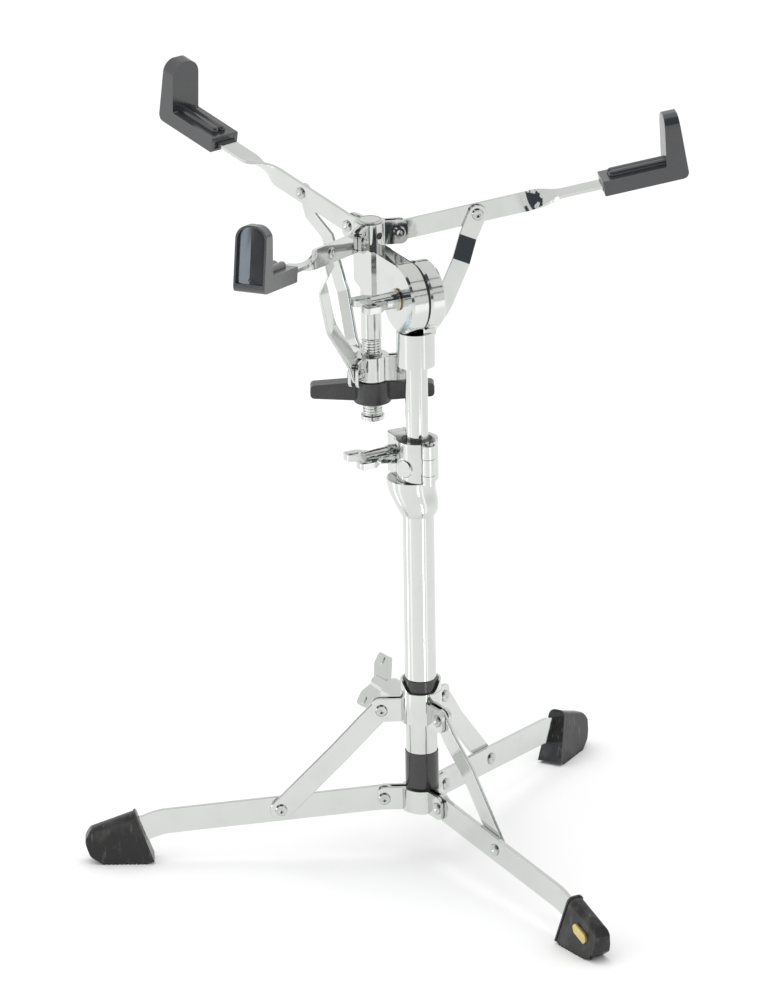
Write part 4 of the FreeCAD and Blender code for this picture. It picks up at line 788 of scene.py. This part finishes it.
def jaw_boss():
    """A low boss with a rounded rim, turned about z."""
    profile = [(0, -BOSS_PROUD), (BOSS_RADIUS, -BOSS_PROUD), (BOSS_RADIUS, BOSS_PROUD - BOSS_ROUND)]
    for step in range(1, BOSS_ROUND_STEPS + 1):
        angle = math.pi / 2 * step / BOSS_ROUND_STEPS
        inward = BOSS_ROUND * (1 - math.cos(angle))
        below = BOSS_ROUND * (1 - math.sin(angle))
        profile.append((BOSS_RADIUS - inward, BOSS_PROUD - below))
    profile.append((0, BOSS_PROUD))
    form = bmesh.new()
    verts = [form.verts.new((r, 0, z)) for r, z in profile]
    edges = [form.edges.new(pair) for pair in zip(verts, verts[1:])]
    bmesh.ops.spin(
        form, geom=verts + edges, cent=(0, 0, 0), axis=(0, 0, 1), angle=2 * math.pi, steps=BOSS_STEPS,
    )
    bmesh.ops.remove_doubles(form, verts=form.verts, dist=WELD_MM)
    bmesh.ops.recalc_face_normals(form, faces=form.faces)
    return smooth(as_mesh(form, "boss"))


def grooved_cap():
    """The hub's cap with a turned groove near its edge."""
    low, high = (Vector(corner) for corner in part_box("hub_cap"))
    groove = ring(*CAP_GROOVE, -CAP_GROOVE_DEPTH, CAP_GROOVE_DEPTH)
    middle = (low + high) / 2
    groove.transform(Matrix.Translation((middle.x, middle.y, high.z)) @ IN_METRES)
    cap = softened(nodes["hub_cap"].data, CAP_EDGE_METRES, WELD, segments=3)
    return smooth(carved(cap, ("DIFFERENCE", groove)))


show("hub_cap_finished", grooved_cap(), "hub_cap", looks[slot_of["hub_cap"]])
rim_mesh = collar_rim()
rim_mesh.transform(IN_METRES)
add("brace_collar_rim", rim_mesh, "brace_collar", looks["chrome_casting"])
boss_mesh = jaw_boss()
boss_place = turned(BOSS_BEARING, "Z") @ Matrix.Translation((BOSS_SPOT, 0, BOSS_HEIGHT))
boss_mesh.transform(IN_METRES @ boss_place @ turned(math.pi / 2, "Y"))
add("clamp_jaw_boss", boss_mesh, "clamp_jaw", looks["chrome_casting"])


# Thumb pads on the wings of the three bolts and a washer under one, in millimetres from the bolt's seat
WING_LENGTH = 30.0
PAD_ALONG = (20.4, 28.4)
PAD_INSET = (1.5, 7.6)
PAD_HALF = 2.95
PAD_ROUND = 1.6
PAD_EDGE = 0.5
WASHER_RADII = (6.0, 7.8)
WASHER_HEIGHTS = (0.2, 1.4)
WASHER_EDGE = 0.25

# Share of a wing's reach beyond which a point counts as its tip
TIP_SHARE = 0.98


def bolt_seat(node, body):
    """A wing bolt's turn and place, z out of its seat and x along a wing, and how far its wings reach."""
    axis = Vector(joint_of[body]["axis"]).normalized()
    start = Vector(joint_of[body]["pos_m"])
    spots = [vertex.co - start for vertex in nodes[node].data.vertices]
    far = max(spots, key=lambda spot: (spot - axis * spot.dot(axis)).length)
    if sum(spot.dot(axis) for spot in spots) / len(spots) > far.dot(axis):
        axis = -axis
    tips = [spot - axis * spot.dot(axis) for spot in spots]
    side = far - axis * far.dot(axis)
    near = [tip for tip in tips if tip.length > side.length * TIP_SHARE and tip.dot(side) > 0]
    out = sum(near, Vector()).normalized()
    half_span = max(tip.dot(out) for tip in tips) / MM
    root = start + axis * (max(spot.dot(axis) for spot in spots) - WING_LENGTH * MM)
    turn = Matrix((out, axis.cross(out), axis)).transposed().to_4x4()
    return Matrix.Translation(root) @ turn @ IN_METRES, half_span


def thumb_pads(node, body):
    """A raised pad on each face of both wings."""
    seat, half_span = bolt_seat(node, body)
    low, high = half_span - PAD_INSET[1], half_span - PAD_INSET[0]
    outline = rounded([
        (low, PAD_ALONG[0], PAD_ROUND),
        (high, PAD_ALONG[0], PAD_ROUND),
        (high, PAD_ALONG[1], PAD_ROUND),
        (low, PAD_ALONG[1], PAD_ROUND),
    ], steps=5)
    pad = softened(swept(outline, "y", -PAD_HALF, PAD_HALF), PAD_EDGE, WELD_MM, segments=3)
    form = bmesh.new()
    for way in (0, 1):
        copy = pad.copy()
        copy.transform(seat @ turned(math.pi * way, "Z"))
        form.from_mesh(copy)
    return as_mesh(form, "pads")


for bolt in ("leg_lock", "height", "tilt"):
    node = f"{bolt}_wing_bolt"
    body = f"{bolt}_bolt"
    add(f"{bolt}_bolt_pads", thumb_pads(node, body), body, looks[slot_of[node]])
washer_mesh = softened(ring(*WASHER_RADII, *WASHER_HEIGHTS), WASHER_EDGE, WELD_MM, segments=2)
washer_mesh.transform(bolt_seat("tilt_wing_bolt", "tilt_bolt")[0])
add("tilt_bolt_washer", washer_mesh, "tilt_bolt", looks["washer"])


# Floor and room: lengths in metres, bearings and heights in degrees as seen from the stand
FLOOR_HALF = 8.0
FLOOR_CELLS = 4
FLOOR_TONES = ((0.88, 0.88, 0.88), (0.92, 0.92, 0.92))
FLOOR_ROUGHNESS = 0.8
FLOOR_SHEEN = 0.1
WHITE = (1, 1, 1)
WORLD_STRENGTH = 0.87
ROOM_RADIUS = 6.0
ROOM_BEARINGS = (-168, -12)
ROOM_HEIGHTS = (20, 80)
ROOM_STEP = 2
ROOM_GLOW = 0.07
ROOM_TINT = (0.8, 0.95, 1.1)
WINDOWS = [
    ((-146, -134), (32, 58)),
    ((-132, -120), (32, 58)),
    ((-40, -14), (22, 34)),
    ((-40, -14), (38, 58)),
]

# Cards that stand round the floor's edge: name, bearings, strength
CARD_TOP = 1.0
STANDING_CARDS = [
    ("left_window", (-172, -138), 4.0),
    ("front_wall", (-132, -92), ROOM_GLOW),
]

# Cards that lie on the floor: name, bearings with their spreads, near and far radius, strength
CARD_HEIGHT = 0.004
FLOOR_CARDS = [
    ("wide_cards", [(207, 13), (320, 9)], (0.3, 3.0), 1.4),
    ("narrow_cards", [(300, 5), (176, 4)], (0.3, 0.9), 5.0),
]

# Square area lights: name, place, aim, size, power in watts
LIGHTS = [
    ("overhead", (-0.4, 0.5, 3.0), (0, 0.2, 0), 3.0, 42),
    ("left_fill", (-2.6, -1.2, 1.6), (0, 0, 0.3), 1.6, 10),
]


def pale_floor():
    form = bmesh.new()
    bmesh.ops.create_grid(form, x_segments=FLOOR_CELLS, y_segments=FLOOR_CELLS, size=FLOOR_HALF)
    material, tree, shader = nodes_of("floor_look")
    tone = mixed(tree, noise(tree, FLOOR_CLOUDS), *FLOOR_TONES)
    tree.links.new(tone, shader.inputs["Base Color"])
    shader.inputs["Roughness"].default_value = FLOOR_ROUGHNESS
    shader.inputs["Specular IOR Level"].default_value = FLOOR_SHEEN
    thing = placed("floor", as_mesh(form, "floor"), material)


def studio_world():
    """An even white room."""
    world = bpy.data.worlds.new("studio")
    bpy.context.scene.world = world
    world.use_nodes = True
    background = world.node_tree.nodes["Background"]
    background.inputs["Color"].default_value = (*WHITE, 1)
    background.inputs["Strength"].default_value = WORLD_STRENGTH


def glow(name, colour, strength):
    """A surface that only gives light, for the cards that show in reflections."""
    material, _, shader = nodes_of(name)
    shader.inputs["Base Color"].default_value = (0, 0, 0, 1)
    shader.inputs["Specular IOR Level"].default_value = 0
    shader.inputs["Emission Color"].default_value = (*colour, 1)
    shader.inputs["Emission Strength"].default_value = strength
    return material


def only_in_reflections(name, form, look):
    thing = placed(name, as_mesh(form, name), look)
    thing.visible_camera = False
    thing.visible_diffuse = False
    thing.visible_shadow = False


def in_window(bearing, height):
    return any(
        left <= bearing < right and low <= height < high
        for (left, right), (low, high) in WINDOWS
    )


def dark_room():
    """The dark side of the studio, with windows, in front of the stand: the dark lines in the chrome."""
    form = bmesh.new()

    def corner(bearing, height):
        turn = math.radians(bearing)
        tilt = math.radians(height)
        spot = Vector((math.cos(turn) * math.cos(tilt), math.sin(turn) * math.cos(tilt), math.sin(tilt)))
        return form.verts.new(spot * ROOM_RADIUS)

    for bearing in range(*ROOM_BEARINGS, ROOM_STEP):
        for height in range(*ROOM_HEIGHTS, ROOM_STEP):
            if in_window(bearing, height):
                continue
            form.faces.new([
                corner(bearing, height),
                corner(bearing + ROOM_STEP, height),
                corner(bearing + ROOM_STEP, height + ROOM_STEP),
                corner(bearing, height + ROOM_STEP),
            ])
    only_in_reflections("dark_room", form, glow("room_look", ROOM_TINT, ROOM_GLOW))


def standing_card(name, bearings, strength):
    """A card round the edge of the floor, seen in the faces that mirror the horizon."""
    form = bmesh.new()
    rows = []
    for bearing in range(bearings[0], bearings[1] + 1, ROOM_STEP):
        turn = math.radians(bearing)
        foot = Vector((math.cos(turn), math.sin(turn), 0)) * ROOM_RADIUS
        rows.append((form.verts.new(foot), form.verts.new(foot + Vector((0, 0, CARD_TOP)))))
    for (low, high), (next_low, next_high) in zip(rows, rows[1:]):
        form.faces.new((low, next_low, next_high, high))
    only_in_reflections(name, form, glow(f"{name}_look", ROOM_TINT, strength))


def floor_cards(name, places, radii, strength):
    """White cards on the floor round the stand, seen only in reflections: the bright lines on the tubes."""
    near, far = radii
    form = bmesh.new()
    for bearing, spread in places:
        corners = []
        for radius, way in ((near, -1), (near, 1), (far, 1), (far, -1)):
            angle = math.radians(bearing + way * spread / 2)
            corners.append(form.verts.new((radius * math.cos(angle), radius * math.sin(angle), CARD_HEIGHT)))
        form.faces.new(corners)
    only_in_reflections(name, form, glow(f"{name}_look", WHITE, strength))


def soft_light(name, place, aim, size, power):
    """An area light that brightens surfaces and doesn't show in reflections."""
    lamp = bpy.data.lights.new(name, "AREA")
    lamp.shape = "RECTANGLE"
    lamp.size = size
    lamp.size_y = size
    lamp.energy = power
    thing = bpy.data.objects.new(name, lamp)
    thing.location = place
    thing.rotation_euler = (Vector(aim) - Vector(place)).to_track_quat("-Z", "Y").to_euler()
    thing.visible_glossy = False
    link(thing)


# Camera, fitted to the photograph's frame
AZIMUTH = math.radians(-0.9)
ELEVATION = math.radians(20.4)
ROLL = math.radians(0.9)
DISTANCE = 8.0
PIXELS_PER_METRE = 1438.0
FRAME_PIXELS = (771, 1000)
TARGET = Vector((0, 0, 0.27))
TARGET_PIXEL = (418.0, 494.1)
SENSOR = 36.0
CLIP_END = 100.0


def photo_camera():
    lens = bpy.data.cameras.new("camera")
    lens.sensor_width = SENSOR
    lens.lens = PIXELS_PER_METRE * DISTANCE * SENSOR / max(FRAME_PIXELS)
    lens.clip_end = CLIP_END
    level = math.cos(ELEVATION)
    back = Vector((math.sin(AZIMUTH) * level, -math.cos(AZIMUTH) * level, math.sin(ELEVATION)))
    right = Vector((math.cos(AZIMUTH), math.sin(AZIMUTH), 0))
    up = back.cross(right)
    across = right * math.cos(ROLL) - up * math.sin(ROLL)
    upward = right * math.sin(ROLL) + up * math.cos(ROLL)
    aside = (TARGET_PIXEL[0] - FRAME_PIXELS[0] / 2) / PIXELS_PER_METRE
    above = (FRAME_PIXELS[1] / 2 - TARGET_PIXEL[1]) / PIXELS_PER_METRE
    place = TARGET + back * DISTANCE - across * aside - upward * above
    thing = bpy.data.objects.new("camera", lens)
    turn = Matrix((across, upward, back)).transposed()
    thing.matrix_world = Matrix.Translation(place) @ turn.to_4x4()
    link(thing)
    bpy.context.scene.camera = thing


pale_floor()
studio_world()
dark_room()
for row in STANDING_CARDS:
    standing_card(*row)
for row in FLOOR_CARDS:
    floor_cards(*row)
for row in LIGHTS:
    soft_light(*row)
photo_camera()
bpy.context.scene.view_settings.view_transform = "Standard"
